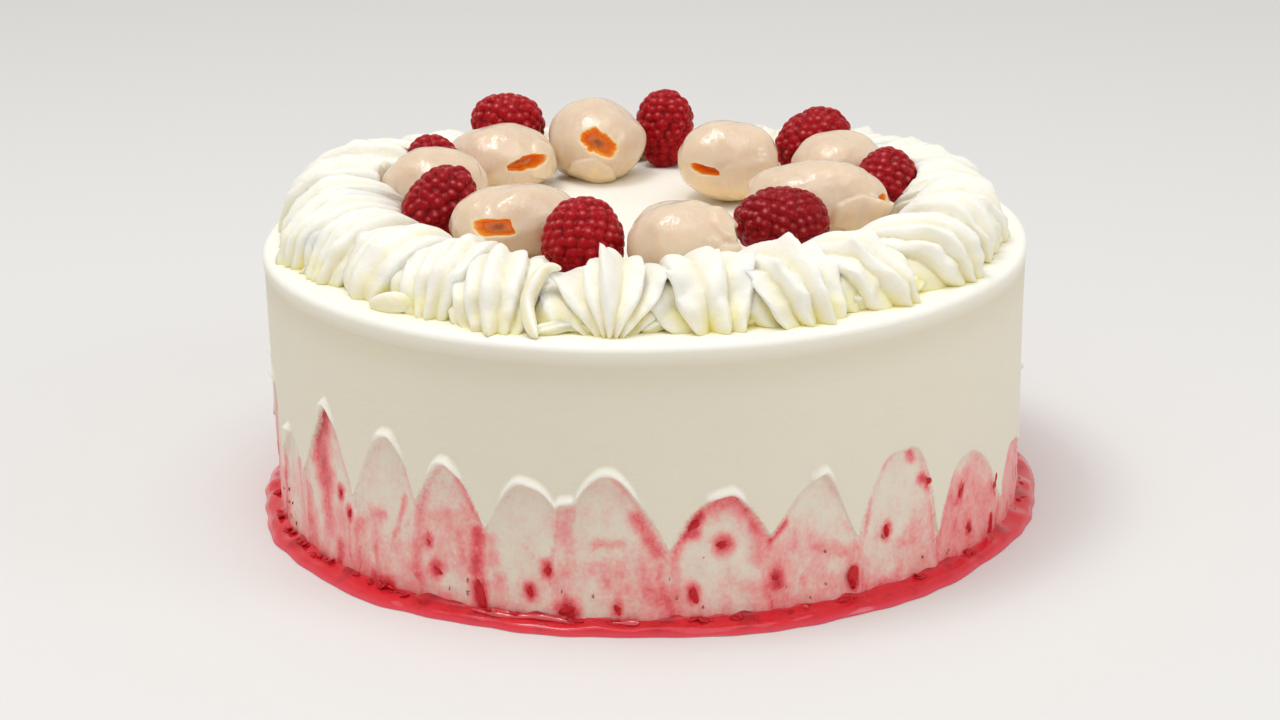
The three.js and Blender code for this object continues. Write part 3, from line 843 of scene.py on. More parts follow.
@dataclass(frozen=True)
class FruitBits:
    """Marks, lumps and seeds of raspberry, in the smear on the side and in the pool at its foot.

    marks are the red marks and shown the lumps that the front shows. Their places were picked by eye in
    the photo, turned into angles and heights outside this script, and then rounded and changed by hand.
    pale is where the purée is scraped off again. foot_shown is the angle of each clump of bits at the
    foot, and how many it has. foot_least and foot_most are the smallest and largest half sizes of those
    bits: outward, sideways and upward. Each grid is the rings of a bit and the points in a ring.
    """

    marks: tuple[Streak, ...] = tuple(Streak(*row) for row in (
        (-155, 25, -153.5, 15, 2, 0.45), (-153.5, 15, -152, 2, 2.2, 0.5),
        (-145.6, 44, -147.0, 38, 9.0, 1.1), (-147.0, 38, -145.4, 25, 8.6, 0.88),
        (-145.4, 25, -144.4, 12, 6.8, 0.66), (-141, 25.5, -141, 22, 1.8, 0.7),
        (-138.7, 20, -139, 7.5, 2.4, 0.55), (-141.5, 9, -142, 3, 4.2, 0.82),
        (-132, 22, -131.3, 22, 3.6, 0.5), (-126.7, 29, -128, 22, 1.4, 0.5),
        (-128, 22, -129.5, 15, 1.5, 0.42), (-133, 12.5, -132.4, 5.7, 2, 0.5),
        (-133.5, 3.5, -130.3, 3.5, 5.0, 0.85), (-124, 18, -122.8, 19, 2.6, 0.68),
        (-125, 8.5, -124.8, 8, 1.8, 0.75), (-123, 10.5, -120.3, 12.3, 3, 0.64),
        (-120, 28.5, -118.6, 21, 4.2, 0.42), (-117.7, 23.5, -117.3, 15, 4.2, 0.45),
        (-114.6, 23.5, -115, 12.5, 4.4, 0.78), (-115, 9, -114.3, 3.5, 3.7, 1.0),
        (-112.6, 22, -112.3, 16, 3, 0.42), (-111.6, 11.5, -110.6, 5, 3.6, 0.42),
        (-107, 10.3, -107, 8, 2.2, 0.82), (-104.5, 16.5, -104.2, 15, 2.4, 0.86),
        (-102.3, 5.5, -100.8, 4.5, 4.4, 1.0), (-102.5, 31, -101, 31.5, 1.6, 0.42),
        (-102, 26.5, -101.3, 21, 4, 0.38), (-97.2, 23.3, -93.7, 23, 2.5, 0.45),
        (-96.2, 13, -95.8, 12, 4, 0.52), (-94.2, 15.5, -92.8, 10, 4.6, 0.42),
        (-94.6, 6.2, -94.3, 4.7, 2.5, 0.82), (-91.5, 30, -88.8, 20.5, 4.4, 0.66),
        (-90.7, 18.5, -89.5, 8, 6.8, 0.54), (-86.6, 21, -86.4, 10, 2.8, 0.45),
        (-83, 30, -85, 25.6, 3.5, 0.95), (-81, 33.4, -76.8, 32.8, 2.3, 0.62),
        (-76.3, 30.6, -75, 25, 3.2, 0.7), (-74.6, 23.5, -74.8, 16.7, 4.3, 0.54),
        (-80.5, 21.8, -78.7, 22.2, 2.1, 0.8), (-84.1, 10.8, -84.2, 8, 2.7, 0.92),
        (-71, 26, -73.4, 21.8, 2, 0.8), (-73.4, 21.5, -73.7, 18.5, 3.2, 0.55),
        (-72.3, 12.6, -72.1, 9.8, 3.7, 0.96), (-72.8, 16, -71.5, 7, 6.7, 0.46),
        (-68, 10.4, -67.8, 9.4, 2.6, 0.6), (-66.3, 17.3, -61.6, 15, 4.8, 0.46), (-65, 11, -62.7, 5, 7, 0.4),
        (-60, 10, -60, 5.5, 3.5, 0.96), (-60, 12, -60, 3, 6.4, 0.5), (-57.2, 29.4, -58, 18.3, 1.4, 0.5),
        (-54, 18.6, -54, 17, 2.4, 0.92), (-50, 38, -49.3, 35.4, 2, 0.62),
        (-47.6, 29.6, -44.8, 27, 2.8, 0.8), (-44.8, 26, -45, 12, 2.8, 0.58), (-51.5, 13, -48, 12, 4, 0.42),
        (-37, 22, -39, 18.3, 2.1, 0.8), (-39.7, 18.5, -40.7, 14, 1.7, 0.55),
        (-27.5, 18.6, -27.6, 15, 3, 0.9), (-28.8, 8, -28.6, 3.5, 4, 0.92), (-35.7, 10, -35.4, 8, 2.9, 0.82),
        (-32.7, 26.8, -30.7, 21.5, 5, 0.45), (-20.4, 6.5, -19.4, 3, 2.7, 0.75),
    ))
    shown: tuple[Lump, ...] = (
        Lump(-141, 23.6, 1.4, 3.2),
        Lump(-138.7, 19, 1.6, 3.4, 8),
        Lump(-122.9, 18.4, 2, 2.2, -30),
        Lump(-121.6, 11.4, 3.2, 2.0, 20),
        Lump(-114.7, 7, 3.0, 6.4, -10),
        Lump(-107, 9.2, 1.7, 3.0),
        Lump(-104.3, 15.7, 1.8, 3.2, 14),
        Lump(-101.6, 5, 4.6, 3.0, -20),
        Lump(-94.5, 5.5, 1.8, 2.4),
        Lump(-84.1, 9.4, 2.2, 4.0, 4),
        Lump(-84.2, 27.2, 2.8, 4.4, 30),
        Lump(-79.7, 22, 3.4, 1.6, -8),
        Lump(-72.2, 11.2, 3.0, 3.8, -4),
        Lump(-60, 7.8, 2.8, 5.0, 4),
        Lump(-54, 17.8, 1.8, 2.4, -20),
        Lump(-46.2, 28.2, 2.2, 2.4, 15),
        Lump(-37.6, 20.6, 1.5, 4.0, 20),
        Lump(-35.5, 9.2, 2.0, 2.4, 10),
        Lump(-28.7, 6, 2.6, 4.6, -4),
        Lump(-27.5, 17, 1.9, 3.6, 4),
    )
    pale: tuple[Streak, ...] = (
        Streak(-119.8, 9, -115, 5.5, 5, 0.85),
        Streak(-98.6, 12, -97.6, 5, 7, 0.75),
        Streak(-57, 14, -54, 8, 6, 0.6),
        Streak(-134, 10, -131.5, 6, 4, 0.6),
        Streak(-148.5, 22, -146.5, 9, 5, 0.75),
        Streak(-82, 13, -78, 6, 9, 0.5),
    )
    hidden_count: int = 28
    hidden_marks: int = 80
    foot_shown: tuple[tuple[float, int], ...] = (
        (-165, 7), (-158, 3), (-153, 7), (-148, 3), (-144, 5), (-139, 8), (-134.5, 3), (-130.5, 8),
        (-126, 2), (-114, 4), (-109, 3), (-101, 6), (-94.5, 3), (-82.5, 7), (-77, 2), (-70, 3), (-61, 3),
        (-48, 3), (-36, 4),
    )
    foot_clusters: int = 18
    foot_count: int = 72
    foot_least: Triple = (0.6, 0.7, 0.3)
    foot_most: Triple = (1.1, 1.7, 0.6)
    seed_count: int = 90
    seed_half: Triple = (0.24, 0.3, 0.5)
    seed: int = 41
    proud: float = 0.6
    lump_grid: tuple[int, int] = (11, 16)
    foot_grid: tuple[int, int] = (9, 12)
    seed_grid: tuple[int, int] = (5, 8)
    rough: float = 0.38
    lump_finish: FruitBitFinish = FruitBitFinish(
        "raspberry bits", (0.60, 0.017, 0.024), (0.48, 0.010, 0.016), 0.3
    )
    seed_finish: FruitBitFinish = FruitBitFinish(
        "raspberry seeds", (0.52, 0.20, 0.10), (0.34, 0.11, 0.05), 0.4
    )

    def lumps(self) -> list[Lump]:
        """Every lump on the side: those that the front shows, and others drawn round the back."""
        draw = np.random.default_rng(self.seed)
        angles = np.linspace(-12, 174, self.hidden_count) + draw.uniform(-3, 3, self.hidden_count)
        heights = draw.uniform(5, 24, self.hidden_count)
        sizes = draw.uniform(1.6, 2.8, (self.hidden_count, 2)) + (0, 1)
        leans = draw.uniform(-25, 25, self.hidden_count)
        rows = np.column_stack([angles, heights, sizes, leans])
        return [*self.shown, *(Lump(*row) for row in rows.tolist())]

    def hidden_streaks(self) -> list[Streak]:
        """Marks drawn round the back: half of them tall ones high up, and half of them short."""
        draw = np.random.default_rng(self.seed + 7)
        angles = np.linspace(-18, 188, self.hidden_marks) + draw.uniform(-2, 2, self.hidden_marks)
        tall = np.arange(self.hidden_marks) % 2
        starts = draw.uniform(4, 22, self.hidden_marks) + 8 * tall
        lengths = draw.uniform(0.5, 3, self.hidden_marks) + tall * draw.uniform(2, 8, self.hidden_marks)
        turns = draw.uniform(-1, 1, self.hidden_marks)
        wide = draw.uniform(1.5, 5.0, self.hidden_marks)
        red = draw.uniform(0.4, 0.85, self.hidden_marks)
        rows = np.column_stack([angles, starts, angles + turns, starts - lengths, wide, red])
        return [Streak(*row) for row in rows.tolist()]

    def red(self, angle: Array, z: Array) -> Array:
        """How red the marks and the surroundings of the lumps make the smear.

        Args:
            angle: The points' angles.
            z: Their heights.

        Returns:
            The highest red that reaches each point.
        """
        marks = [*self.marks, *self.hidden_streaks()]
        for lump in self.lumps():
            half = 0.3 * lump.long
            marks.append(Streak(lump.angle, lump.z + half, lump.angle, lump.z - half, lump.wide + 1.2, 0.95))
        total = np.zeros(np.broadcast(angle, z).shape)
        for mark in marks:
            total = np.maximum(total, mark.spread(angle, z))
        return total

    def scraped(self, angle: Array, z: Array) -> Array:
        """How much of the purée is scraped off again at points, from 0 to 1."""
        return np.max([mark.spread(angle, z) for mark in self.pale], axis=0)

    def blob(self, centre: Array, axes: Array, half: Array, seed: int, grid: tuple[int, int]) -> Surface:
        """An uneven rounded bit: an ellipsoid along its axes, roughened all over.

        Args:
            centre: Its middle.
            axes: Three unit directions, one in each row.
            half: Its half sizes along them.
            seed: What its unevenness is drawn from.
            grid: The rings between its ends, and the points in a ring.

        Returns:
            The closed surface.
        """
        up = np.linspace(0, np.pi, grid[0] + 2)[1:-1, None]
        turn = np.linspace(0, 2 * np.pi, grid[1], endpoint=False)
        ball = stacked(np.sin(up) * np.cos(turn), np.sin(up) * np.sin(turn), -np.cos(up))
        ball *= 1 + self.rough * unevenness(ball, 1.3, seed)[..., None]
        ends = (np.array([0, 0, -1.0]), np.array([0, 0, 1.0]))
        placed = tuple(centre + (end * half) @ axes for end in ends)
        return Surface.over_rings(centre + (ball * half) @ axes, ends=placed)

    @staticmethod
    def axes_at(angle: float, lean: float = 0.0) -> Array:
        """Outward, sideways and upward directions at an angle, leaned in the plane of the side."""
        out = direction(angle, 0)
        side = direction(angle + 90, 0)
        up = np.array([0, 0, 1.0])
        cos, sin = math.cos(math.radians(lean)), math.sin(math.radians(lean))
        return np.array([out, side * cos - up * sin, up * cos + side * sin])

    def dress(self, body: "CakeBody", ring: "PureeRing") -> None:
        """Makes the lumps and the seeds as one piece each."""
        draw = np.random.default_rng(self.seed + 1)
        lumps = []
        for i, lump in enumerate(self.lumps()):
            half = np.array([self.proud, 0.5 * lump.wide, 0.5 * lump.long])
            centre = polar(body.radius_at(lump.angle, lump.z) - 0.2, lump.angle, lump.z)
            lumps.append(self.blob(centre, self.axes_at(lump.angle, lump.lean), half, i, self.lump_grid))
        back = draw.uniform(-25, 190, self.foot_clusters)[np.arange(self.foot_count) % self.foot_clusters]
        clusters = np.concatenate([back, *(np.full(many, angle) for angle, many in self.foot_shown)])
        for i, angle in enumerate(clusters + draw.normal(0, 1.0, len(clusters))):
            half = draw.uniform(self.foot_least, self.foot_most)
            centre = polar(SIDE_RADIUS + draw.uniform(-0.2, 0.9), angle, draw.uniform(2.0, 3.0))
            axes = self.axes_at(angle, draw.uniform(-30, 30))
            lumps.append(self.blob(centre, axes, half, 100 + i, self.foot_grid))
        finish = self.lump_finish.make()
        Surface.joined(lumps).piece("raspberry_bits", Slot.PUREE, finish, ["raspberry_puree_ring"])
        seeds = []
        for i in range(self.seed_count):
            angle = draw.uniform(-180, 180)
            height = float(body.band.outline(np.array([angle]))[0][0])
            z = draw.uniform(3, max(8.0, 0.8 * height)) * draw.uniform(0.4, 1)
            half = np.array(self.seed_half) * draw.uniform(0.75, 1.15)
            if z > ring.height + 1:
                centre = polar(body.radius_at(angle, z), angle, z)
            else:
                centre = polar(SIDE_RADIUS + 1.2, angle, ring.height - 0.1)
            axes = self.axes_at(angle, draw.uniform(-60, 60))
            seeds.append(self.blob(centre, axes, half, i, self.seed_grid))
        finish = self.seed_finish.make()
        Surface.joined(seeds).piece("raspberry_seeds", Slot.PUREE, finish, ["raspberry_puree_ring"])


@dataclass(frozen=True)
class CakeBody:
    """The uncut cake in smooth cream, scooped in by the strokes, with a lip of cream over each.

    base_radii are rings of the base. edge_rings and middle_rings are the rings of the top, each as the
    first radius, the last one and how many there are.
    """

    band: StrokeBand
    bits: FruitBits
    columns: int = 900
    rim_radius: float = 105.0
    rim_foot: float = 6.0
    rim_drop: float = 2.3
    flat_radius: float = 102.4
    swell: float = 2.0
    scoop: float = 1.1
    foot_scoop: float = 0.6
    lip_out: float = 1.7
    lip_height: float = 4.8
    overlap: float = 0.32
    swell_radius: float = 50.0
    swell_half: float = 14.0
    base_radii: tuple[float, ...] = (34.0, 68.0)
    edge_in: float = 0.8
    band_rows: int = 34
    lip_rows: int = 14
    wall_rows: int = 10
    rim_rows: int = 10
    edge_rings: tuple[float, float, int] = (101.4, 84.0, 19)
    middle_rings: tuple[float, float, int] = (80.0, 3.0, 16)

    def scoop_depth(self, nearness: Array) -> Array:
        """How deep the scoop is just under the strokes' edge."""
        return self.scoop * (0.2 + 0.8 * smooth(nearness, 0.4, 0.85))

    def stroke_at(self, angle: Array, z: Array) -> tuple[Array, Array, Array, Array]:
        """Which stroke points are in, allowing for sides that wander lower down.

        Args:
            angle: The points' angles.
            z: Their heights.

        Returns:
            The part of the outline's height they are at, the number of the stroke, and the distances
            from its left and right sides.
        """
        height, _, _ = self.band.outline(angle)
        part = np.clip(z / height, 0, 1)
        wander = 1.6 * unevenness(np.stack([angle * 0.3, z, z * 0], -1), 26, 7) * (1 - part**2)
        _, _, owner = self.band.outline(angle + wander)
        left, right = self.band.sides(angle + wander, z, owner)
        return part, owner, left, right

    def band_radius(self, angle: Array, z: Array) -> Array:
        """The radius of the side inside the strokes.

        The scoop gets deeper from the foot to the edge, and comes out again just under it. Each stroke
        stands out on its right, where it runs over the next, and the knife leaves upright streaks.

        Args:
            angle: The points' angles.
            z: Their heights.

        Returns:
            The radius of each point.
        """
        height, nearness, _ = self.band.outline(angle)
        part, _, left, right = self.stroke_at(angle, z)
        across = (left - right) / np.maximum(left + right, 1)
        depth = self.foot_scoop + (self.scoop_depth(nearness) - self.foot_scoop) * part
        depth = depth * (1 - 0.8 * smooth(z, height - 1.2, height))
        step = self.overlap * np.clip(across, -1, 1) ** 3 * smooth(np.minimum(left, right), 0, 1.6)
        step = step * (1 - part**4)
        streaks = 0.1 * side_unevenness(angle, z * 0.12, 4.5, 11)
        patches = 0.12 * side_unevenness(angle, z, 6, 12)
        return SIDE_RADIUS - depth + step + (streaks + patches) * smooth(height - z, 0, 4)

    def radius_at(self, angle: float, z: float) -> float:
        """The radius of the side at one place inside the strokes."""
        return float(self.band_radius(np.array([angle]), np.array([z]))[0])

    def lip_radius(self, angle: Array, part: Array) -> Array:
        """The radius over the edge of the strokes, at parts of the lip's height from 0 to 1.

        The lip is a roll at the tips, and a small peak of cream at the valleys: it swells out steeply,
        is fullest below the middle and falls off softly.

        Args:
            angle: The points' angles.
            part: How far up the lip they are.

        Returns:
            The radius of each point.
        """
        _, nearness, _ = self.band.outline(angle)
        out = self.lip_out * self.band.caps(angle) * (1 + 0.2 * side_unevenness(angle, 0, 7, 5))
        out = out + 0.45 * self.band.valley_nearness(angle)
        full = 0.35 + 0.65 * self.band.caps(angle)
        roll = smooth(part, -0.06, 0.22 * full) * (1 - smooth(part, 0.24 * full, 0.66 * full))
        return SIDE_RADIUS - 0.2 * self.scoop_depth(nearness) * (1 - part) ** 3 + out * roll

    def stain(self, angle: Array, z: Array) -> Array:
        """How red the smear is, from 0 to about 1.

        Each stroke has its own tint up to the height that it soaks. To that come soft streaks along its
        two sides, the purée along its upper edge and at its foot, and the marks and lumps.

        Args:
            angle: The points' angles.
            z: Their heights.

        Returns:
            The stain of each point.
        """
        height, nearness, _ = self.band.outline(angle)
        _, owner, left, right = self.stroke_at(angle, z)
        soak = self.band.columns_of("soak")[owner]
        uneven = 3.5 * side_unevenness(angle, z, 15, 17)
        tint = self.band.columns_of("tint")[owner] * (1 - smooth(z + uneven, 0.75 * soak, 1.2 * soak))
        crown = self.band.columns_of("crown")[owner] * bell(height - z, 6.5)
        edge = self.band.columns_of("left_edge")[owner] * bell(left, 1.6)
        edge = edge + self.band.columns_of("right_edge")[owner] * bell(right, 1.6)
        splash = side_unevenness(angle, 0, 7, 19) + 0.6
        foot = 0.6 * np.exp(-z / (1.6 + 1.6 * np.maximum(0, splash)))
        soft = 0.06 + (tint + edge * smooth(nearness, -0.1, 0.3) + foot) * (1 - self.bits.scraped(angle, z))
        return np.maximum(np.maximum(soft, crown * (nearness > 0.4)), self.bits.red(angle, z))

    def surface(self, taken: Array) -> Surface:
        """The whole skin, ring by ring from the middle of the base to the middle of the top.

        Up the side the rings follow the strokes' outline: parts of its height below it, parts of the
        lip's height over it, and then parts of the way up to the rim, whose section is a quarter of an
        ellipse.

        Args:
            taken: The map of where the piping touches the top, which places the painted shade there.

        Returns:
            The closed surface with the traits under, stain, side and contact. under is how far below the
            outline a point is. side is painted shade on the side: 1 just under the rim, three quarters below
            that, and it fades out at the rim and on the rolls over the tips, which keep the lit top colour as
            a painted highlight. contact is painted shade where the piping crowds the top.
        """
        angle = np.arange(self.columns) * 360 / self.columns - 180
        height, _, _ = self.band.outline(angle)
        slope = np.gradient(height, math.radians(360 / self.columns) * SIDE_RADIUS)
        part = 1 - (1 - np.linspace(0, 1, self.band_rows)[:, None]) ** 1.25
        lip_part = np.linspace(0, 1, self.lip_rows + 1)[1:, None]
        lip_top = height + self.lip_height
        wall_part = np.linspace(0, 1, self.wall_rows + 1)[1:, None]
        wall_top = CAKE_HEIGHT - self.rim_foot
        wall_radius = 0.5 * (SIDE_RADIUS + self.rim_radius)
        quarter = np.radians(np.linspace(0, 90, self.rim_rows))[:, None]
        rim_out = self.rim_radius - self.flat_radius
        inward = np.concatenate([np.linspace(*self.edge_rings), np.linspace(*self.middle_rings)])[:, None]
        swell = self.swell * bell(inward - self.swell_radius, self.swell_half)
        on_band = height * part
        on_lip = np.broadcast_to(angle, (self.lip_rows, self.columns))
        base = np.array([*self.base_radii, SIDE_RADIUS - self.foot_scoop - self.edge_in])[:, None]
        radius = np.vstack([
            base + 0 * angle,
            self.band_radius(np.broadcast_to(angle, on_band.shape), on_band),
            self.lip_radius(on_lip, lip_part + 0 * angle),
            SIDE_RADIUS + (wall_radius - SIDE_RADIUS) * wall_part + 0 * angle,
            self.flat_radius + rim_out * np.cos(quarter) + 0 * angle,
            inward + 0 * angle,
        ])
        z = np.vstack([
            0 * base + 0 * angle,
            on_band,
            height + self.lip_height * lip_part,
            lip_top + (wall_top - lip_top) * wall_part,
            CAKE_HEIGHT - self.rim_drop * (1 - np.sin(quarter)) + 0 * angle,
            CAKE_HEIGHT + swell + 0 * angle,
        ])
        rings = polar(radius, angle, z)
        uneven = 0.22 * unevenness(rings * (1, 1, 0.6), 34, 3)
        side = smooth(z, 2, 8) * smooth(radius, 101, 104)
        on_top = smooth(z, CAKE_HEIGHT - 1, CAKE_HEIGHT)
        rings = polar(radius + uneven * side, angle, z - 0.5 * np.abs(uneven) * on_top)
        over = (z - height) / self.lip_height
        caps = self.band.caps(angle)
        # The rolls over the tips face up, so the side's painted shade is taken off them: a painted highlight.
        roll = smooth(over, -0.05, 0.1) * (1 - smooth(over, 0.3, 0.7)) * smooth(caps, 0, 0.5)
        thin = 0.6 + 2.4 * (1 - caps)
        # Painted shade, deepest about 7 mm below the rim.
        shaded = 0.75 + 0.25 * bell(z - CAKE_HEIGHT + 7, 5)
        traits = {
            "under": (height - z) / np.sqrt(1 + slope**2) / thin,
            "stain": self.stain(np.broadcast_to(angle, z.shape), z),
            "side": (1 - smooth(z, CAKE_HEIGHT - 4, CAKE_HEIGHT - 1)) * (1 - 0.9 * roll) * shaded,
            # Painted shade where the piping crowds the top.
            "contact": on_top * smooth(Footprint().at(taken, rings), 0.3, 0.9),
        }
        ends = (np.zeros(3), np.array([0, 0, CAKE_HEIGHT]))
        return Surface.over_rings(rings, traits, ends)

    def dress(self, taken: Array) -> None:
        """Makes the iced cake."""
        self.surface(taken).piece("iced_cake", Slot.ICING, IcingFinish().make(), ["cake_body"])


@dataclass(frozen=True)
class PureeRing:
    """The pool of purée round the foot of the cake."""

    columns: int = 1200
    outer_radius: float = 109.1
    wave: float = 1.1
    height: float = 3.5
    lumps: int = 23
    lump_height: float = 1.3
    thickness: float = 2.3
    beads: tuple[tuple[float, float], ...] = ((-115.7, -100.3), (-95.5, -91.5), (30.0, 38.0), (120.0, 131.0))
    bead_half: float = 0.65
    top_rows: int = 28
    floor_rows: int = 6
    bead_rows: int = 88
    bead_columns: int = 12

    def surface(self) -> Surface:
        """The pool's skin, ring by ring: out along the floor and back over its rounded top.

        Over the floor its height is a bead, the root of one less a power of the part of the way out, and
        a fillet that falls off quickly from the side of the cake.

        Returns:
            The closed surface with the traits thin and lump.
        """
        angle = np.arange(self.columns) * 360 / self.columns
        turned = np.radians(angle)
        wave = 0.6 * np.sin(5 * turned + np.radians(40)) + 0.4 * np.sin(13 * turned)
        ripple = 0.3 * side_unevenness(angle, 0, 11, 21)
        outer = self.outer_radius + self.wave * wave + ripple
        lump = np.maximum(0, np.sin(self.lumps * turned + 0.5 * np.pi * wave)) ** 2
        inner = SIDE_RADIUS - 1.1
        out = np.sin(0.5 * np.pi * (1 - np.linspace(0, 1, self.top_rows)[:, None]))
        bead = self.thickness * np.sqrt(np.maximum(0, 1 - out**3))
        fillet = (self.height + self.lump_height * lump - self.thickness) * np.exp(-out / 0.16)
        soft = 0.22 * unevenness(polar(inner + 5 * out, angle, 0 * out), 8, 22) * smooth(1 - out, 0, 0.3)
        top_radius = inner + (outer - inner) * out
        top_z = np.maximum((bead + fillet) * (1 - out**8) + soft, 0.02)
        floor_out = np.linspace(0, 0.97, self.floor_rows)[:, None]
        floor = 0 * floor_out + 0 * angle
        radius = np.vstack([inner + (outer - inner) * floor_out, top_radius])
        z = np.vstack([floor, top_z])
        traits = {
            "thin": np.vstack([floor + 1, smooth(out, 0.75, 1.0) + 0 * angle]),
            "lump": np.vstack([floor, lump * (1 - out)]),
        }
        return Surface.over_rings(polar(radius, angle, z), traits)

    def bead(self, start: float, end: float) -> Surface:
        """A thin bead of juice along the inner edge: a round section that shrinks to its two ends."""
        part = np.linspace(0, 1, self.bead_rows + 2)[1:-1, None]
        angle = start + (end - start) * part
        section = np.radians(np.arange(self.bead_columns) * 360 / self.bead_columns)[None, :]
        half = self.bead_half * (1 + 0.3 * side_unevenness(angle, 0, 5, 31))
        half = half * np.sqrt(np.minimum(1, 8 * part * (1 - part)))
        middle = SIDE_RADIUS + 0.9 + 0.3 * side_unevenness(angle, 0, 9, 32)
        level = self.height - 0.9 + 0.2 * side_unevenness(angle, 0, 9, 33)
        rings = polar(middle + half * np.cos(section), angle, level + half * np.sin(section))
        ends = tuple(ring.mean(0) for ring in (rings[0], rings[-1]))
        traits = {"thin": 0 * rings[..., 0], "lump": 0 * rings[..., 0]}
        return Surface.over_rings(rings[:, ::-1], traits, ends)

    def dress(self) -> None:
        """Makes the pool with its beads of juice."""
        self.surface().piece("puree_pool", Slot.PUREE, PureeFinish().make(), ["raspberry_puree_ring"])
        beads = Surface.joined([self.bead(start, end) for start, end in self.beads])
        juice = PureeFinish("raspberry juice", specular=1.0, coat=1.0, roughness=0.05).make()
        beads.piece("juice_beads", Slot.PUREE, juice, ["raspberry_puree_ring"])


@dataclass(frozen=True)
class Shell:
    """One shell of piped cream.

    index tells its draws apart, and angle and foot_radius say where its foot is. fins is how far the end
    of each ridge stands up in millimetres. twist is how far its ridges turn from foot to tail, swing how
    far the whole section leans, and slant how far its foot is turned round the cake from its tail, all
    in degrees. groove is how deep its grooves are as a part of its half height, and foot how wide its
    foot is as a part of its width. inset and sunk are how far its foot starts inside and below the edge
    where it meets the top.
    """

    index: int
    angle: float
    width: float
    foot_radius: float
    fins: tuple[float, ...]
    twist: float
    swing: float
    slant: float
    height: float
    groove: float
    foot: float
    inset: float = 2.5
    sunk: float = 6.0
    rows: int = 50
    columns: int = 80

    @property
    def ridges(self) -> int:
        """How many ridges it has."""
        return len(self.fins)


@dataclass(frozen=True)
class Rope:
    """A rope of cream through points that are given as angle, radius and height.

    half holds its half width and half thickness. across is 0 where its width lies along the cake's
    radius, and 90 where it lies round the cake.
    """

    way: tuple[Triple, ...]
    half: tuple[float, float]
    seed: int
    across: float = 0.0
    ridges: int = 6
    blunt: float = 6.0
    rows: int = 60
    columns: int = 40

    def parts(self) -> Array:
        """Parts of the rope's length, closer together towards its ends."""
        even = np.linspace(0, 1, self.rows)
        return 0.6 * (0.5 - 0.5 * np.cos(np.pi * even)) + 0.4 * even

    def path(self) -> Array:
        """Places along the rope, from a smooth cubic through each of its points in turn."""
        angle, radius, z = np.array(self.way).T
        corners = polar(radius, angle, z)
        corners = np.vstack([2 * corners[0] - corners[1], corners, 2 * corners[-1] - corners[-2]])
        run = (len(self.way) - 1 - 1e-9) * self.parts()
        at = run.astype(int)
        part = (run - at)[:, None]
        before, start, end, after = (corners[at + k] for k in range(4))
        cubic = 3 * start - 3 * end + after - before
        square = 2 * before - 5 * start + 4 * end - after
        return start + 0.5 * part * (end - before + part * (square + part * cubic))

    def surface(self) -> tuple[Array, Array, tuple[Array, Array]]:
        """The rope's rings: a ridged ellipse that closes at the two ends.

        Returns:
            The rings, how deep in a groove each point is, which sets its painted shade, and the two end
            points.
        """
        path = self.path()
        ahead = np.gradient(path, axis=0)
        ahead /= np.linalg.norm(ahead, axis=1, keepdims=True)
        angle = np.degrees(np.arctan2(path[:, 1], path[:, 0])) + self.across
        side = polar(1.0, angle, 0.0)
        side -= (side * ahead).sum(1, keepdims=True) * ahead
        side /= np.linalg.norm(side, axis=1, keepdims=True)
        up = np.cross(side, ahead)
        up *= np.sign(up[:, 2:] + 1e-9)
        turn = np.radians(np.arange(self.columns) * 360 / self.columns)[None, :]
        if np.linalg.det(np.stack([side[0], up[0], ahead[0]])) < 0:
            side = -side
        part = self.parts()[:, None]
        close = np.sqrt(np.maximum(0.001, 1 - np.abs(2 * part - 1) ** self.blunt))
        uneven = 1 + 0.14 * unevenness(path, 11, self.seed)[:, None]
        deep = np.abs(np.sin(0.5 * self.ridges * (turn + 0.6 * part))) ** 0.9
        reach = close * uneven * (1 - 0.2 * deep)
        across = (self.half[0] * reach * np.cos(turn))[..., None] * side[:, None]
        rings = path[:, None] + across + (self.half[1] * reach * np.sin(turn))[..., None] * up[:, None]
        ends = tuple(not_buried(place) for place in (path[0], path[-1]))
        return not_buried(rings), deep + 0 * part, ends


@dataclass(frozen=True)
class Footprint:
    """How crowded the piping is over the cake's top, as a blurred map of where it touches, which places
    painted shade.
    """

    step: float = 0.5
    inner: float = 50.0
    outer: float = 112.0
    touch: float = 0.6
    blur: float = 2.0

    def spots(self, points: Array) -> tuple[Array, Array]:
        """The row and column of the map that points lie in."""
        radius = np.hypot(points[..., 0], points[..., 1])
        angle = np.degrees(np.arctan2(points[..., 1], points[..., 0])) % 360
        row = np.clip((radius - self.inner) / self.step, 0, (self.outer - self.inner) / self.step - 1)
        return row.astype(int), (angle / self.step).astype(int) % round(360 / self.step)

    def taken(self, points: Array) -> Array:
        """The map: 1 where points touch the top, blurred by a bell curve both ways.

        Args:
            points: All points of the piping.

        Returns:
            The map, by radius and angle.
        """
        grid = np.zeros((round((self.outer - self.inner) / self.step), round(360 / self.step)))
        low = points[points[:, 2] < CAKE_HEIGHT + self.touch]
        grid[self.spots(low)] = 1
        reach = round(3 * self.blur / self.step)
        weights = np.exp(-0.5 * (np.arange(-reach, reach + 1) * self.step / self.blur) ** 2)
        weights /= weights.sum()
        rows = np.arange(len(grid))
        blurred = np.zeros_like(grid)
        for weight, shift in zip(weights, range(-reach, reach + 1)):
            blurred += weight * grid[np.clip(rows + shift, 0, len(grid) - 1)]
        spread = np.zeros_like(grid)
        for weight, shift in zip(weights, range(-reach, reach + 1)):
            spread += weight * np.roll(blurred, shift, axis=1)
        return spread

    def at(self, taken: Array, points: Array) -> Array:
        """The map's value under or over points."""
        return taken[self.spots(points)]


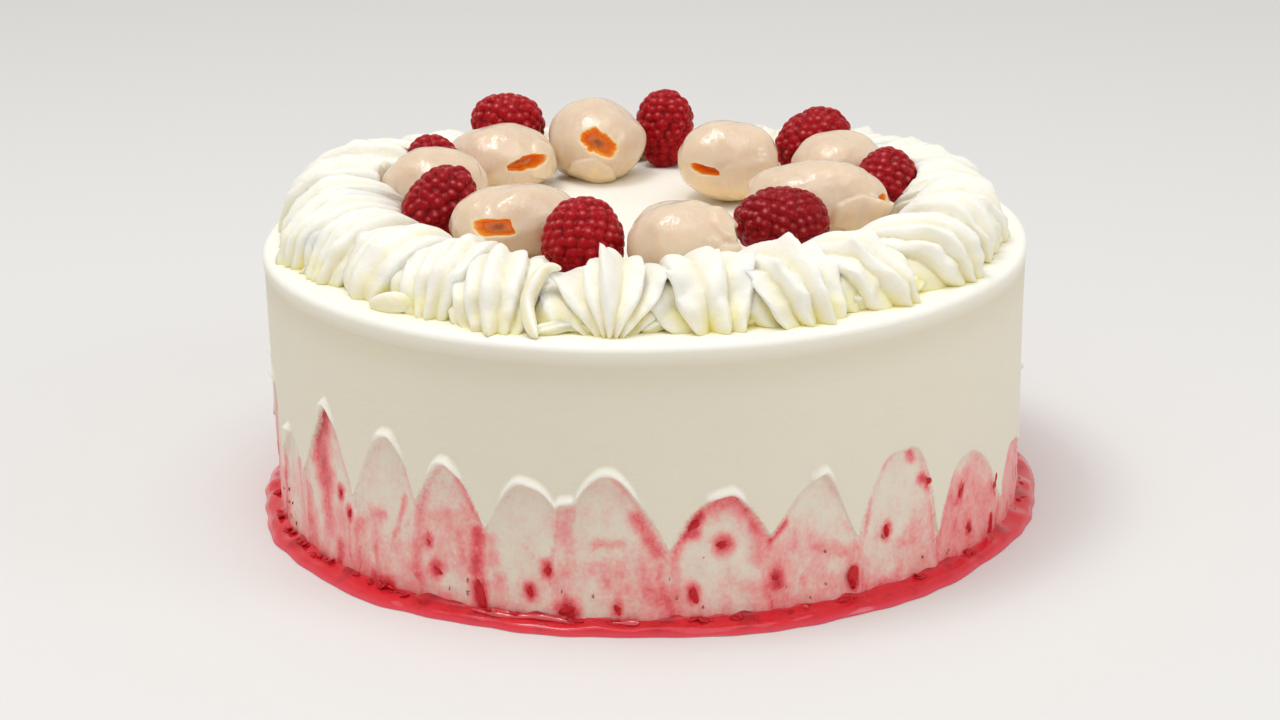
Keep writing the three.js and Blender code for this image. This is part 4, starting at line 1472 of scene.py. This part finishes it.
@dataclass(frozen=True)
class PipedBorder:
    """The border: separate shells at the front, a tight run round the rest, and what joins them.

    shown are the shells of the tight run at the left of the front, each as its angle, its width, the radius
    of its foot and its slant. A shift moves the feet or the tails in or out near an angle, and the spread
    beside it is how many degrees it reaches. uneven is the size and amount of each unevenness. The feet of
    the loose shells, the rows of shown and the ropes at the front start from points picked in the photo. They
    were turned into places outside this script and then moved by hand.
    """

    loose: tuple[Shell, ...] = (
        Shell(0, -95.2, 34, 100.6, (0.5, 2.2, 4.4, 1.2, 5.6, 1.2, 3.2, 0.8, 0.5),
              10, 0, 2, 14.6, 0.3, 0.6, 1, 2, 100, 180),
        Shell(1, -77.4, 32, 98.8, (2.2, 5.0, 4.4, 1.8, 3.2, 0.8, 0.5),
              -50, 4, 14, 15.2, 0.3, 0.8, 2.5, 6, 100, 150),
        Shell(2, -60.6, 31, 100, (0.8, 1.6, 2.8, 3.6, 2.6, 1.2, 0.5),
              -60, 8, 26, 16, 0.24, 0.85, 2.5, 6, 100, 150),
        Shell(3, -45.4, 29, 100, (0.8, 1.6, 3.0, 2.2, 1.4, 0.8, 0.5),
              -50, 6, 28, 16, 0.22, 0.8, 2.5, 6, 100, 150),
        Shell(4, -29.4, 28, 101.4, (0.5, 1.0, 1.4, 1.2, 0.8, 0.8, 0.5),
              -40, 4, 26, 15.5, 0.22, 0.8, 2.5, 6, 100, 150),
    )
    shown: tuple[tuple[float, float, float, float], ...] = (
        (-160.0, 29, 101.8, 15),
        (-151.0, 29, 99.6, 12),
        (-138.5, 31, 97.6, 9),
        (-123.4, 31, 98.4, 8),
        (-111.0, 29, 102.0, 18),
    )
    hidden_first: float = -18.5
    hidden_last: float = 188.5
    hidden_count: int = 19
    hidden_width: float = 30.0
    hidden_foot: float = 98.5
    hidden_slant: float = 12.0
    left_shift: float = 3.5
    left_spread: float = 24.0
    right_shift: float = 1.6
    right_spread: float = 30.0
    tight_height: float = 15.4
    tight_groove: float = 0.24
    tight_base: float = 0.85
    tight_ridges: int = 9
    ropes: tuple[Rope, ...] = (
        Rope(((-105.2, 102.6, 76.0), (-106.5, 99.6, 78.5), (-107.8, 95.5, 83.0), (-107.2, 92.6, 86.8),
              (-106.0, 89.6, 89.6), (-103.6, 88.0, 89.6)), (2.3, 1.9), 61, 90, 3, 2.4),
        Rope(((-103.6, 74.0, 80.0), (-103.4, 81.0, 81.6), (-103.2, 89.0, 79.6), (-103.0, 97.0, 76.4)),
             (9.5, 5.0), 73, 90, 5, 3),
        Rope(((-135.2, 98.9, 76.3), (-132.4, 97.2, 77.2), (-129.4, 95.0, 77.5), (-125.5, 92.0, 77.2)),
             (3.4, 3.0), 62, 0, 3, 1.5),
        Rope(((-119, 60.5, 80), (-115, 60.5, 81.6), (-111.5, 61.5, 80.6)), (3.0, 2.8), 63),
        Rope(((-107, 85.5, 77.4), (-103.5, 87.5, 78.2), (-99, 90.8, 77.0)), (4.4, 3.4), 64),
        Rope(((-106.4, 97.9, 75.9), (-104.4, 96.9, 76.6), (-101.2, 94.5, 77.2), (-97.5, 95.2, 76.4)),
             (2.4, 2.0), 65),
        Rope(((-91, 94.0, 76.0), (-88.6, 92.0, 77.2), (-86.6, 90.5, 77.4), (-84, 92.6, 76.4)),
             (3.4, 2.8), 66),
        Rope(((-75.5, 93.2, 76.0), (-72.0, 91.2, 77.4), (-69.3, 92.6, 77.0), (-66.5, 90.5, 76.6)),
             (3.4, 3.0), 67),
        Rope(((-59, 93.5, 76.0), (-56.6, 91.5, 77.6), (-53.8, 93.0, 77.4), (-51, 90.5, 76.6)),
             (3.6, 3.2), 68),
        Rope(((-44, 93.0, 76.0), (-41.2, 92.0, 77.4), (-38.6, 90.6, 77.4), (-35.5, 92.5, 76.4)),
             (3.4, 3.0), 69),
        Rope(((-29, 93.0, 76.0), (-26.0, 91.0, 77.4), (-23.0, 92.6, 77.0), (-20.5, 90.5, 76.6)),
             (3.4, 2.8), 70),
        Rope(((-116, 81.5, 78), (-104, 80.5, 79.8), (-96, 82.5, 79.2), (-87, 80.5, 80.2), (-79, 82.5, 79.4),
              (-71, 80.5, 80.0), (-63, 82.0, 79.4), (-55, 80.0, 80.0), (-47, 82.0, 79.4), (-39, 80.5, 80.0),
              (-31, 82.0, 79.4), (-16, 81.0, 78)), (7.6, 6.4), 71, 0, 6, 20, 240),
        Rope(tuple((float(angle), 83.5, 78.4 - 3 * max(0.0, math.sin(math.radians(angle))) ** 3)
                   for angle in range(-22, 255, 12)), (9.5, 5.6), 72, 0, 6, 30, 500),
    )
    back_drop: float = 8.0
    back_power: float = 3.4
    back_shift: float = 10.5
    tail_radius: float = 65.5
    tail_height: float = 3.5
    gap_angle: float = -11.0
    gap_shift: float = 15.0
    gap_spread: float = 15.0
    steep_angle: float = 178.0
    steep_spread: float = 26.0
    steep_rise: float = 2.5
    steep_bend: float = 0.16
    bend: float = 0.3
    crest: float = 12.5
    section_drop: float = 5.0
    uneven: tuple[tuple[float, float], ...] = ((4, 0.22), (8, 0.6), (15, 0.7))
    ridge_spread: float = 215.0
    lobed: float = 0.8
    room: float = 0.35
    frill: float = 0.07

    def tight(self) -> list[Shell]:
        """The shells of the tight run: those at the left of the front, then those round the back.

        The feet round the back are further out at the far left, and a little at the far right.

        Returns:
            The shells, numbered on from the loose ones.
        """
        angles = np.linspace(self.hidden_first, self.hidden_last, self.hidden_count)
        feet = self.hidden_foot + self.left_shift * bell(turn_between(180, angles), self.left_spread)
        feet = feet + self.right_shift * bell(turn_between(0, angles), self.right_spread)
        around = zip(angles.tolist(), feet.tolist())
        rows = [*self.shown, *((angle, self.hidden_width, foot, self.hidden_slant) for angle, foot in around)]
        run = []
        for i, (angle, width, foot, slant) in enumerate(rows, len(self.loose)):
            ridges = self.tight_ridges * i + np.arange(self.tight_ridges)
            fins = tuple(0.5 + 0.5 * jitter(ridges, Trait.SHELL_FIN.value))
            twist = -24 + 14 * one_draw(i, Trait.SHELL_FIN)
            swing = 5 * one_draw(i, Trait.SHELL_SWING)
            slant += 5 * one_draw(i, Trait.SHELL_FOOT)
            sizes = (self.tight_height, self.tight_groove, self.tight_base)
            run.append(Shell(i, angle, width, foot, fins, twist, swing, slant, *sizes))
        return run

    def ridged(self, shell: Shell, turn: Array) -> tuple[Array, Array]:
        """Where turns from the top of the section lie among its ridges, which are unevenly far apart.

        Args:
            shell: The shell.
            turn: Degrees from the top of the section.

        Returns:
            The turn counted in ridges from the first, and how deep in a groove it is from 0 to 1. The
            ridges are lobes, as a root of a cosine, with a slight crest, as an arch of a sine.
        """
        number = np.arange(shell.ridges)
        gap = self.ridge_spread / (shell.ridges - 1)
        places = gap * (number + 0.3 * jitter(shell.ridges * shell.index + number, Trait.SHELL_LEAN.value))
        at = np.interp(turn + 0.5 * self.ridge_spread, places, number)
        lobes = 1 - np.abs(np.cos(np.pi * at)) ** 0.85
        deep = self.lobed * lobes + (1 - self.lobed) * np.abs(np.sin(np.pi * at)) ** 0.8
        beyond = smooth(np.abs(turn), 0.5 * self.ridge_spread, 0.5 * self.ridge_spread + 30)
        return at, deep * (1 - beyond) + 0.4 * beyond

    def shell_rings(self, shell: Shell) -> tuple[Array, Array, tuple[Array, Array]]:
        """A shell: a ridged section carried along a short arch from the rim towards the middle.

        The section's half width and height follow the root of a sine along the arch, and its width is
        pinched at the foot. Each ridge has a height of its own, and stands up in a fin that rises to its
        place on the arch and ends at once behind it. The shells get lower and their tails shorter towards
        the back. Their tails are shorter by the gap in the fruit too, and those at the far left are
        higher and bend up more steeply from the rim.

        Args:
            shell: Which one, and its own sizes.

        Returns:
            The rings, the painted shade of each point, which grows deep in a groove and low down, and the two
            end points.
        """
        back = max(0.0, -math.cos(math.radians(shell.angle - FRONT))) ** self.back_power
        steep = bell(turn_between(self.steep_angle, shell.angle), self.steep_spread)
        height = shell.height + 0.7 * one_draw(shell.index, Trait.SHELL_HEIGHT) + self.steep_rise * steep
        gap = bell(turn_between(self.gap_angle, shell.angle), self.gap_spread)
        shift = max(self.back_shift * back, self.gap_shift * gap)
        length = shell.foot_radius - (self.tail_radius + shift + one_draw(shell.index, Trait.SHELL_TAIL))
        lean = math.radians(2 * one_draw(shell.index, Trait.SHELL_LEAN))
        radius = height - self.section_drop
        part = (0.5 - 0.5 * np.cos(np.pi * (np.arange(shell.rows) + 0.6) / (shell.rows + 0.2)))[:, None]
        t = part**1.25
        turn = (np.arange(shell.columns) * 360 / shell.columns - 180)[None, :]
        start, end = np.array([shell.inset, -shell.sunk]), np.array([length, self.tail_height])
        bend = self.bend - self.steep_bend * steep
        bend = np.array([bend * length, self.crest + self.steep_rise * steep])
        path = (1 - t) ** 2 * start + 2 * (1 - t) * t * bend + t * t * end
        pull = 2 * (1 - t) * (bend - start) + 2 * t * (end - bend)
        pull /= np.linalg.norm(pull, axis=-1, keepdims=True)
        run, climb = pull[:, :1], pull[:, 1:]
        size = np.sin(np.pi * t**0.85) ** 0.45
        wide = size * (shell.foot + (1 - shell.foot) * smooth(t, 0, 0.3))
        at, deep = self.ridged(shell, turn + shell.twist * (t - 0.5))
        number = np.arange(shell.ridges)
        crests = 0.13 * jitter(shell.ridges * shell.index + number, Trait.SHELL_HEIGHT.value)
        groove = shell.groove * (1 - 0.35 * np.exp(-t / 0.12))
        reach = (1 + np.interp(at, number, crests)) * (1 - groove * deep)
        for k, fin in enumerate(shell.fins):
            place = 0.5 + 0.07 * one_draw(shell.index * shell.ridges + k, Trait.SHELL_TAIL)
            ahead = t - place
            rise = np.where(ahead < 0, np.exp(ahead / 0.09), np.exp(-ahead / 0.03))
            reach = reach + fin / radius * np.exp(-((np.abs(at - k) / 0.18) ** 1.4)) * rise
        turned = np.radians(turn + shell.swing)
        rise = radius * size * reach * np.cos(turned)
        across = 0.5 * shell.width * wide * reach * np.sin(turned)
        distance = path[:, :1] - rise * climb
        above = (path[:, 1:] + rise * run) * (1 - self.back_drop * back / shell.height)
        flare = 1 + self.frill * bell(above, 2.2) * (0.75 - deep)
        distance = 0.5 * length + (distance - 0.5 * length) * flare
        across = across * flare + lean * distance
        distance -= distance[above > 0].min()
        foot = polar(shell.foot_radius, shell.angle, CAKE_HEIGHT)
        heading = shell.angle + shell.slant
        out, side = direction(heading, 0), direction(heading + 90, 0)
        rings = foot - distance[..., None] * out + across[..., None] * side
        rings[..., 2] = CAKE_HEIGHT + above
        for size, amount in self.uneven:
            rings += amount * unevenness(rings, size, shell.index)[..., None] * direction(heading, 30)
        # Painted shade, more of it low down near the top of the cake.
        deep = 0.7 * deep + 0.45 * (1 - smooth(above, 1, 13))
        first = foot - shell.inset * out - (0, 0, BURIED)
        last = foot - length * out + lean * length * side + (0, 0, self.tail_height)
        return not_buried(rings), deep, (first, last)

    def pressed(self, points: Array) -> Array:
        """Points moved out of the rooms of the fruit, which are round below and go straight up.

        The fruit are the solids whose names end in a number.

        Args:
            points: Points of the piping.

        Returns:
            The points, of which those in a room are moved to its wall.
        """
        numbered = [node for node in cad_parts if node.rsplit("_", 1)[-1].isdigit()]
        for node in numbered:
            low, high = (np.array(corner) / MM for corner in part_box(node))
            centre = 0.5 * (low + high)
            apart = points - centre
            lift = np.maximum(apart[..., 2:], 0) * (0, 0, 1)
            away = (apart - lift) / (0.5 * (high - low) + self.room)
            near = np.linalg.norm(away, axis=-1, keepdims=True)
            points = np.where(near < 1, centre + lift + (apart - lift) / np.maximum(near, 0.2), points)
        return points

    def dress(self) -> Array:
        """Makes the loose shells, the tight run and the ropes between, as one piece each.

        Returns:
            The map of where the piping touches the top.
        """
        groups = {
            "loose_shells": [self.shell_rings(shell) for shell in self.loose],
            "tight_shells": [self.shell_rings(shell) for shell in self.tight()],
            "border_ropes": [rope.surface() for rope in self.ropes],
        }
        pressed = {
            name: [(self.pressed(rings), deep, ends) for rings, deep, ends in group]
            for name, group in groups.items()
        }
        footprint = Footprint()
        every = [rings.reshape(-1, 3) for group in pressed.values() for rings, _, _ in group]
        taken = footprint.taken(np.vstack(every))
        finish = PipedFinish().make()
        for name, group in pressed.items():
            surfaces = []
            for rings, deep, ends in group:
                above = rings[..., 2] - CAKE_HEIGHT
                # Painted shade: where the piping is crowded and low, and a little all along its foot.
                crowded = smooth(footprint.at(taken, rings), 0.55, 1.0) * (1 - smooth(above, 1, 6))
                contact = np.maximum(0.9 * crowded, 0.45 * (1 - smooth(above, 0, 1.6)))
                surfaces.append(Surface.over_rings(rings, {"groove": deep, "contact": contact}, ends))
            Surface.joined(surfaces).piece(name, Slot.PIPED, finish, ["piped_border"])
        return taken


@dataclass(frozen=True)
class Patch:
    """A part of a lychee's flesh that stands out or is sunk, with a torn edge.

    way is its direction from the middle, as an angle and an elevation, reach its radius as an angle in
    radians, raised how far it stands out as a part of the lychee's size, and edge how soft its edge is.
    """

    way: tuple[float, float]
    reach: float
    raised: float
    edge: float = 0.1


@dataclass(frozen=True)
class Lychee:
    """A pitted lychee: its place, half sizes, lift, turn, and its pit hole's direction, size and roll.

    coarse is how many bulges the hole's rim has, and square how boxy the hole is, from 2 for an ellipse.
    lip is how far the rim stands out, as a part of the lychee's size.
    """

    number: int
    x: float
    y: float
    half: tuple[float, float, float]
    lift: float
    turn: float
    hole: tuple[float, float]
    size: tuple[float, float]
    roll: float
    patches: tuple[Patch, ...] = ()
    pit_depth: float = 4.2
    coarse: int = 14
    square: float = 2.2
    lip: float = 0.012
    columns: int = 168
    flesh_rows: int = 100
    pit_rows: int = 20

    def rim_angle(self, phi: Array) -> Array:
        """The angle from the hole's axis to its rim: that of an ellipse, or of a rounded box where its
        power is higher, with uneven bulges and tears.

        Args:
            phi: Angles round the axis, in radians.

        Returns:
            The rim's angle at each, in radians.
        """
        along = phi - math.radians(self.roll)
        parts = np.abs(np.cos(along) / self.size[0]), np.abs(np.sin(along) / self.size[1])
        radius = 0.5 / (parts[0] ** self.square + parts[1] ** self.square) ** (1 / self.square)
        total = np.ones_like(phi)
        for count, spread in ((self.coarse, 0.16), (4 * self.coarse, 0.05)):
            bulges = jitter(np.arange(count + 1) % count, Trait.PIT_RIM.value + self.number - 1)
            column = phi / (2 * np.pi) * count
            part = smooth(column % 1, 0, 1)
            near = np.floor(column).astype(int) % count
            total = total + spread * (bulges[near] * (1 - part) + bulges[near + 1] * part)
        return radius * total / (sum(self.half) / 3)

    def relief(self, unit: Array) -> Array:
        """How far the flesh stands out or in, as a part of its size.

        To soft unevenness of three sizes come the patches, whose torn edges wander.

        Args:
            unit: Directions from the middle.

        Returns:
            The relief in each direction.
        """
        half = np.array(self.half)
        total = 0.035 * unevenness(unit * half, 24, 40 + self.number)
        total = total + 0.030 * unevenness(unit * half, 12, 50 + self.number)
        total = total + 0.008 * unevenness(unit * half, 5, 60 + self.number)
        for i, patch in enumerate(self.patches):
            way = direction(patch.way[0] - self.turn, patch.way[1])
            away = np.arccos(np.clip(unit @ way, -1, 1)) + 0.09 * unevenness(unit * half, 7, 70 + i)
            total = total + patch.raised * (1 - smooth(away, patch.reach, patch.reach + patch.edge))
        return total

    def surface(self) -> Surface:
        """The skin round the hole's axis, and the wall and floor of the pit.

        A point's direction turns from the far pole to the rim, then in along the wall of the pit, whose
        edge is rounded.

        Returns:
            The closed surface with the traits low and pit.
        """
        half = np.array(self.half)
        mean = half.mean()
        turned = frame_towards(direction(self.hole[0] - self.turn, self.hole[1]))
        phi = np.linspace(0, 2 * np.pi, self.columns, endpoint=False)[None, :]
        rim = self.rim_angle(phi)
        outer = np.linspace(0, 1, self.flesh_rows + 1)[1:, None]
        wall = np.linspace(0, 1, self.pit_rows + 1)[1:, None]
        theta_out = np.pi - outer * (np.pi - rim)
        lip = self.lip * bell(theta_out - rim, 0.12)
        theta_in = rim * (1 - 0.16 * smooth(wall, 0, 0.5) - 0.6 * smooth(wall, 0.5, 1))
        sunk = self.pit_depth / mean * smooth(wall, -0.2, 0.75)
        theta = np.vstack([theta_out, theta_in])
        reach = np.vstack([1 + lip, 1 + self.lip - sunk + 0 * phi])
        unit = stacked(np.sin(theta) * np.cos(phi), np.sin(theta) * np.sin(phi), np.cos(theta)) @ turned.T
        reach = reach + self.relief(unit) * np.vstack([outer**0.1, 1 - 0.5 * wall])
        rings = unit * reach[..., None] * half
        pole = turned @ (0, 0, 1)
        poles = (-pole * half * (1 + self.relief(-pole)), pole * half * (1 - self.pit_depth / mean))
        lowest = rings[..., 2].min()
        rotate = np.array([direction(self.turn, 0), direction(self.turn + 90, 0), (0, 0, 1)]).T
        place = np.array([self.x, self.y, CAKE_HEIGHT + self.lift - SINK - lowest])
        low = 1 - (rings[..., 2] - lowest) / (2 * half[2])
        pit = np.vstack([smooth(theta_out - rim, 0.09, 0.0) * 0.1, 0.12 + 0.88 * wall + 0 * phi])
        moved = tuple(rotate @ pole + place for pole in poles)
        return Surface.over_rings(rings @ rotate.T + place, {"low": low, "pit": pit}, moved)

    def dress(self, finish: bpy.types.Material) -> None:
        """Makes the lychee."""
        name = f"pitted_lychee_{self.number}"
        self.surface().piece(name, Slot.LYCHEE, finish, [f"lychee_{self.number}"])


@dataclass(frozen=True)
class Raspberry:
    """A raspberry: its place, lift, length and width, the direction of its tip, and how dark it is."""

    number: int
    x: float
    y: float
    lift: float
    length: float
    width: float
    tip: tuple[float, float]
    ripe: float = 0.0
    pitch: float = 2.75
    base_reach: float = 0.88
    bluntness: float = 2.3
    start: float = 1.04
    taper: float = 0.16
    bulge: float = 1.3
    lowest: float = 0.34
    # The way that the painted highlights face, in the cake's frame.
    glint_way: Triple = (-0.1, -0.35, 0.93)
    rows: int = 128
    columns: int = 176

    def core(self, t: Array, phi: Array) -> Array:
        """A point of the blunt cone under the drupelets.

        Its radius is the half width times a blunt arch along its length, less its taper.

        Args:
            t: The part of the length from the open end to the tip.
            phi: The angle round the axis, in radians.

        Returns:
            The points.
        """
        blunt = np.sqrt(np.maximum(0, 1 - np.abs(2 * t - 1) ** self.bluntness))
        radius = 0.5 * self.width * blunt * (self.start - self.taper * t) * self.base_reach
        z = self.length * (t - 0.5) * (0.5 + 0.5 * self.base_reach)
        return stacked(radius * np.cos(phi), radius * np.sin(phi), z)

    def drupelets(self) -> tuple[Array, Array]:
        """The middles and sizes of the drupelets.

        They lie in rows along the length, each turned by half a drupelet from the one before, with as
        many as fit round it.

        Returns:
            The middles on the core, and how large each is of the usual size.
        """
        fine = np.linspace(0, 1, 400)
        profile = self.core(fine, np.zeros(1))
        run = np.concatenate([[0], np.cumsum(np.linalg.norm(np.diff(profile, axis=0), axis=1))])
        count = max(5, round(run[-1] / (0.86 * self.pitch)))
        rows = np.interp((np.arange(count) + 0.5) / count * run[-1], run, fine)
        middles, sizes = [], []
        for i, t in enumerate(rows):
            around = 2 * np.pi * float(np.hypot(*self.core(t, np.zeros(1))[0, :2]))
            many = max(1, round(around / self.pitch))
            k = np.arange(many)
            draw = jitter(k + 40 * i, Trait.DRUPELET.value + self.number)
            phi = 2 * np.pi * (k + 0.5 * (i % 2) + 0.2 * draw) / many
            middles.append(self.core(np.clip(t + 0.02 * np.roll(draw, 1), 0.004, 0.996), phi))
            sizes.append(1 + 0.16 * np.roll(draw, 2))
        return np.vstack(middles), np.concatenate(sizes)

    def surface(self) -> Surface:
        """The skin: each point of the core, pushed out by the round drupelet nearest to it.

        A drupelet's height is that of a ball's cap over its middle, and the highest cap counts.

        Returns:
            The closed surface with the traits crease, spot and ripe: crease places painted shade, spot a
            painted highlight near the top of each drupelet, and ripe how dark the berry is.
        """
        t = (0.5 - 0.5 * np.cos(np.pi * (np.arange(self.rows) + 0.7) / (self.rows + 0.4)))[:, None]
        phi = np.linspace(0, 2 * np.pi, self.columns, endpoint=False)[None, :]
        core = self.core(t, phi)
        middles, sizes = self.drupelets()
        apart = np.linalg.norm(core[..., None, :] - middles, axis=-1) / (0.62 * self.pitch * sizes)
        cap = np.sqrt(np.maximum(0, 1 - apart**2)) * sizes
        high = np.maximum(cap.max(-1), self.lowest)
        along = np.gradient(core, axis=0)
        around = np.roll(core, -1, 1) - np.roll(core, 1, 1)
        out = np.cross(around, along)
        out /= np.maximum(np.linalg.norm(out, axis=-1, keepdims=True), 1e-9)
        rings = core + self.bulge * high[..., None] * out
        turned = frame_towards(direction(*self.tip))
        # Where each drupelet's painted highlight goes: a little way from its middle, on the side that faces
        # up.
        up = np.array(self.glint_way) @ turned
        level = up - (out @ up)[..., None] * out
        nearest = cap.argmax(-1)
        away = np.linalg.norm(core - middles[nearest] - 0.3 * self.pitch * level, axis=-1)
        bright = 0.5 + 0.5 * jitter(nearest, Trait.DRUPELET.value)
        spot = bell(away, 0.15 * self.pitch) * smooth(out @ up, 0.05, 0.5) * bright
        poles = tuple(self.core(np.array(end), np.zeros(1))[0] * (1, 1, 1.08) for end in (0.0, 1.0))
        rings = rings @ turned.T
        place = np.array([self.x, self.y, CAKE_HEIGHT + self.lift - SINK - rings[..., 2].min()])
        moved = tuple(turned @ pole + place for pole in poles)
        traits = {"crease": 1 - high, "spot": spot, "ripe": self.ripe + 0 * high}
        return Surface.over_rings(rings + place, traits, moved)

    def dress(self, finish: bpy.types.Material) -> None:
        """Makes the raspberry."""
        name = f"whole_raspberry_{self.number}"
        self.surface().piece(name, Slot.BERRY, finish, [f"raspberry_{self.number}"])


@dataclass(frozen=True)
class FruitWreath:
    """The lychees and raspberries on the top.

    Their places, lifts and sizes start from a fit to edges picked by eye in the photo, made outside this
    script. They were then rounded and partly changed.
    """

    lychees: tuple[Lychee, ...] = (
        Lychee(1, -14, 53, (14.5, 13, 12), 0, 0, (-86, 14), (12, 7), -38,
               (Patch((-95, -38), 0.42, 0.07), Patch((-40, 5), 0.4, 0.03))),
        Lychee(2, -41.5, 40.5, (16, 13, 10.4), 0, -8, (-58, 10), (11, 5), 58,
               (Patch((-25, 5), 0.5, 0.05), Patch((-110, 30), 0.6, 0.03, 0.3))),
        Lychee(3, -58, 4, (14.8, 12.8, 11.3), 0.4, 10, (85, -15), (9, 6), 0,
               (Patch((-60, 50), 0.5, 0.03, 0.3), Patch((-175, 5), 0.5, -0.04, 0.3))),
        Lychee(4, -34.2, -32.5, (17.6, 13, 10.8), 0.4, 4, (-106, 12), (7.6, 5.6), -12,
               (Patch((-60, 40), 0.5, 0.03, 0.3),), 3.4, 7, 6),
        Lychee(5, 9.5, -55, (14.5, 12.5, 10.9), 1.2, -6, (95, -5), (9, 5), 10,
               (Patch((-16, 32), 0.34, 0.09, 0.2), Patch((-10, 6), 0.1, -0.12, 0.18),
                Patch((-32, -14), 0.36, 0.1, 0.15), Patch((-70, 30), 0.5, -0.03, 0.3))),
        Lychee(6, 47, -13.5, (19.4, 12, 10.6), 1.0, -8, (-24, 12), (3.0, 5.5), -20,
               (Patch((-54, -8), 0.52, 0.08, 0.06), Patch((-5, 30), 0.4, -0.03, 0.2)), 2.4),
        Lychee(7, 55, 26, (13.4, 12, 10.3), 0, 12, (70, 0), (9, 6), 20,
               (Patch((-110, 35), 0.45, 0.03, 0.2),)),
        Lychee(8, 23.5, 27, (14.5, 12.5, 11.2), 1.4, -5, (-118, -2), (8.5, 3.2), -42,
               (Patch((-60, -20), 0.5, 0.04, 0.3),)),
    )
    raspberries: tuple[Raspberry, ...] = (
        Raspberry(1, -40, 63.5, 6.4, 21, 18, (172, 12)),
        Raspberry(2, 6.3, 68.5, 0, 22.4, 17.4, (250, -82)),
        Raspberry(3, 49, 48.5, 3, 23, 18.4, (205, -22), 0.1),
        Raspberry(4, 67, 7, 0.4, 19.5, 18.2, (65, 48), 0.15),
        Raspberry(5, 36, -34.5, 1.0, 25, 20, (188, 4), 0.4),
        Raspberry(6, -16.0, -50.5, 0, 22.2, 22.6, (80, 62)),
        Raspberry(7, -55, -17.5, 2.4, 22, 18.2, (28, 46), 0.25),
        Raspberry(8, -59.5, 26.5, 1.6, 19, 17.4, (120, 50), 0.15),
    )

    def dress(self) -> None:
        """Makes every piece of fruit."""
        flesh = LycheeFinish().make()
        berry = BerryFinish().make()
        for lychee in self.lychees:
            lychee.dress(flesh)
        for raspberry in self.raspberries:
            raspberry.dress(berry)


@dataclass(frozen=True)
class Studio:
    """A pale floor, soft lamps and the camera.

    The camera's distance, elevation, roll, aim and lens come from a fit to edges of the cake in the
    photo, made outside this script.
    """

    floor_half: float = 4000.0
    floor_gap: float = 0.1
    floor_colour: Colour = (0.77, 0.755, 0.745)
    sky: Colour = (1.0, 0.99, 0.96)
    sky_strength: float = 0.62
    camera_distance: float = 839.5
    camera_elevation: float = 20.625
    camera_roll: float = -0.9
    aim: tuple[float, float] = (-1.9, 37.34)
    lens: float = 83.0
    sensor: float = 36.0
    lamps: tuple[tuple[str, Triple, tuple[float, float], float, Colour], ...] = (
        ("overhead", (-0.1, -0.15, 1.3), (1.3, 1.0), 6.2, (1, 1, 1)),
        ("front", (-0.8, -1.45, 0.9), (1.4, 0.8), 1.0, (1, 1, 1)),
        ("window", (1.2, -0.5, 0.7), (0.5, 0.5), 2.6, (0.93, 0.965, 1.0)),
        ("key", (-0.3, -0.05, 1.2), (0.32, 0.28), 2.8, (1, 1, 1)),
    )

    def lay_floor(self) -> None:
        """Lays the floor just under the cake."""
        mesh = bpy.data.meshes.new("floor")
        half = self.floor_half * MM
        low = -self.floor_gap * MM
        corners = [(-half, -half, low), (half, -half, low), (half, half, low), (-half, half, low)]
        mesh.from_pydata(corners, [], [(0, 1, 2, 3)])
        recipe = Recipe("floor")
        mesh.materials.append(recipe.finished({"Base Color": self.floor_colour, "Roughness": 0.6}))
        floor = bpy.data.objects.new("floor", mesh)
        bpy.context.collection.objects.link(floor)

    @staticmethod
    def hang_lamp(
        name: str, place: Triple, size: tuple[float, float], power: float, colour: Colour
    ) -> None:
        """Hangs a soft rectangular lamp that faces the cake.

        Args:
            name: Its name.
            place: Where it hangs, in metres.
            size: Its width and length, in metres.
            power: Its power in watts.
            colour: The colour of its light.
        """
        light = bpy.data.lights.new(name, "AREA")
        light.shape = "RECTANGLE"
        light.size, light.size_y = size
        light.energy = power
        light.color = colour
        lamp = bpy.data.objects.new(name, light)
        bpy.context.collection.objects.link(lamp)
        lamp.location = place
        lamp.rotation_euler = (Vector((0, 0, 0.05)) - lamp.location).to_track_quat("-Z", "Y").to_euler()

    def light(self) -> None:
        """Lights the cake: a pale sky, two lamps above, one at the front left and a window on the right."""
        world = bpy.data.worlds.new("sky")
        bpy.context.scene.world = world
        world.use_nodes = True
        background = world.node_tree.nodes["Background"]
        background.inputs["Color"].default_value = (*self.sky, 1)
        background.inputs["Strength"].default_value = self.sky_strength
        for lamp in self.lamps:
            self.hang_lamp(*lamp)

    def set_camera(self) -> None:
        """Sets the camera at the photo's angle: a distance and elevation on the front, and a roll."""
        data = bpy.data.cameras.new("camera")
        data.lens = self.lens
        data.sensor_width = self.sensor
        data.clip_start, data.clip_end = 0.05, 20
        camera = bpy.data.objects.new("camera", data)
        bpy.context.collection.objects.link(camera)
        elevation = math.radians(self.camera_elevation)
        away = self.camera_distance * MM
        place = Vector((0, -away * math.cos(elevation), away * math.sin(elevation)))
        back = (place - Vector((self.aim[0] * MM, 0, self.aim[1] * MM))).normalized()
        right = Vector((0, 0, 1)).cross(back).normalized()
        up = back.cross(right)
        roll = math.radians(self.camera_roll)
        rolled_right = right * math.cos(roll) + up * math.sin(roll)
        rolled_up = up * math.cos(roll) - right * math.sin(roll)
        turned = Matrix((rolled_right, rolled_up, back)).transposed()
        camera.matrix_world = Matrix.Translation(place) @ turned.to_4x4()
        bpy.context.scene.camera = camera

    def dress(self) -> None:
        """Makes the floor, the lamps and the camera."""
        bpy.context.scene.view_settings.view_transform = "Standard"
        self.lay_floor()
        self.light()
        self.set_camera()


def main() -> None:
    """Builds the cake piece by piece."""
    logging.basicConfig(level=logging.INFO, format="%(name)s %(message)s")
    Studio().dress()
    bits = FruitBits()
    body = CakeBody(StrokeBand(), bits)
    ring = PureeRing()
    body.dress(PipedBorder().dress())
    ring.dress()
    bits.dress(body, ring)
    FruitWreath().dress()


if __name__ == "__main__":
    main()
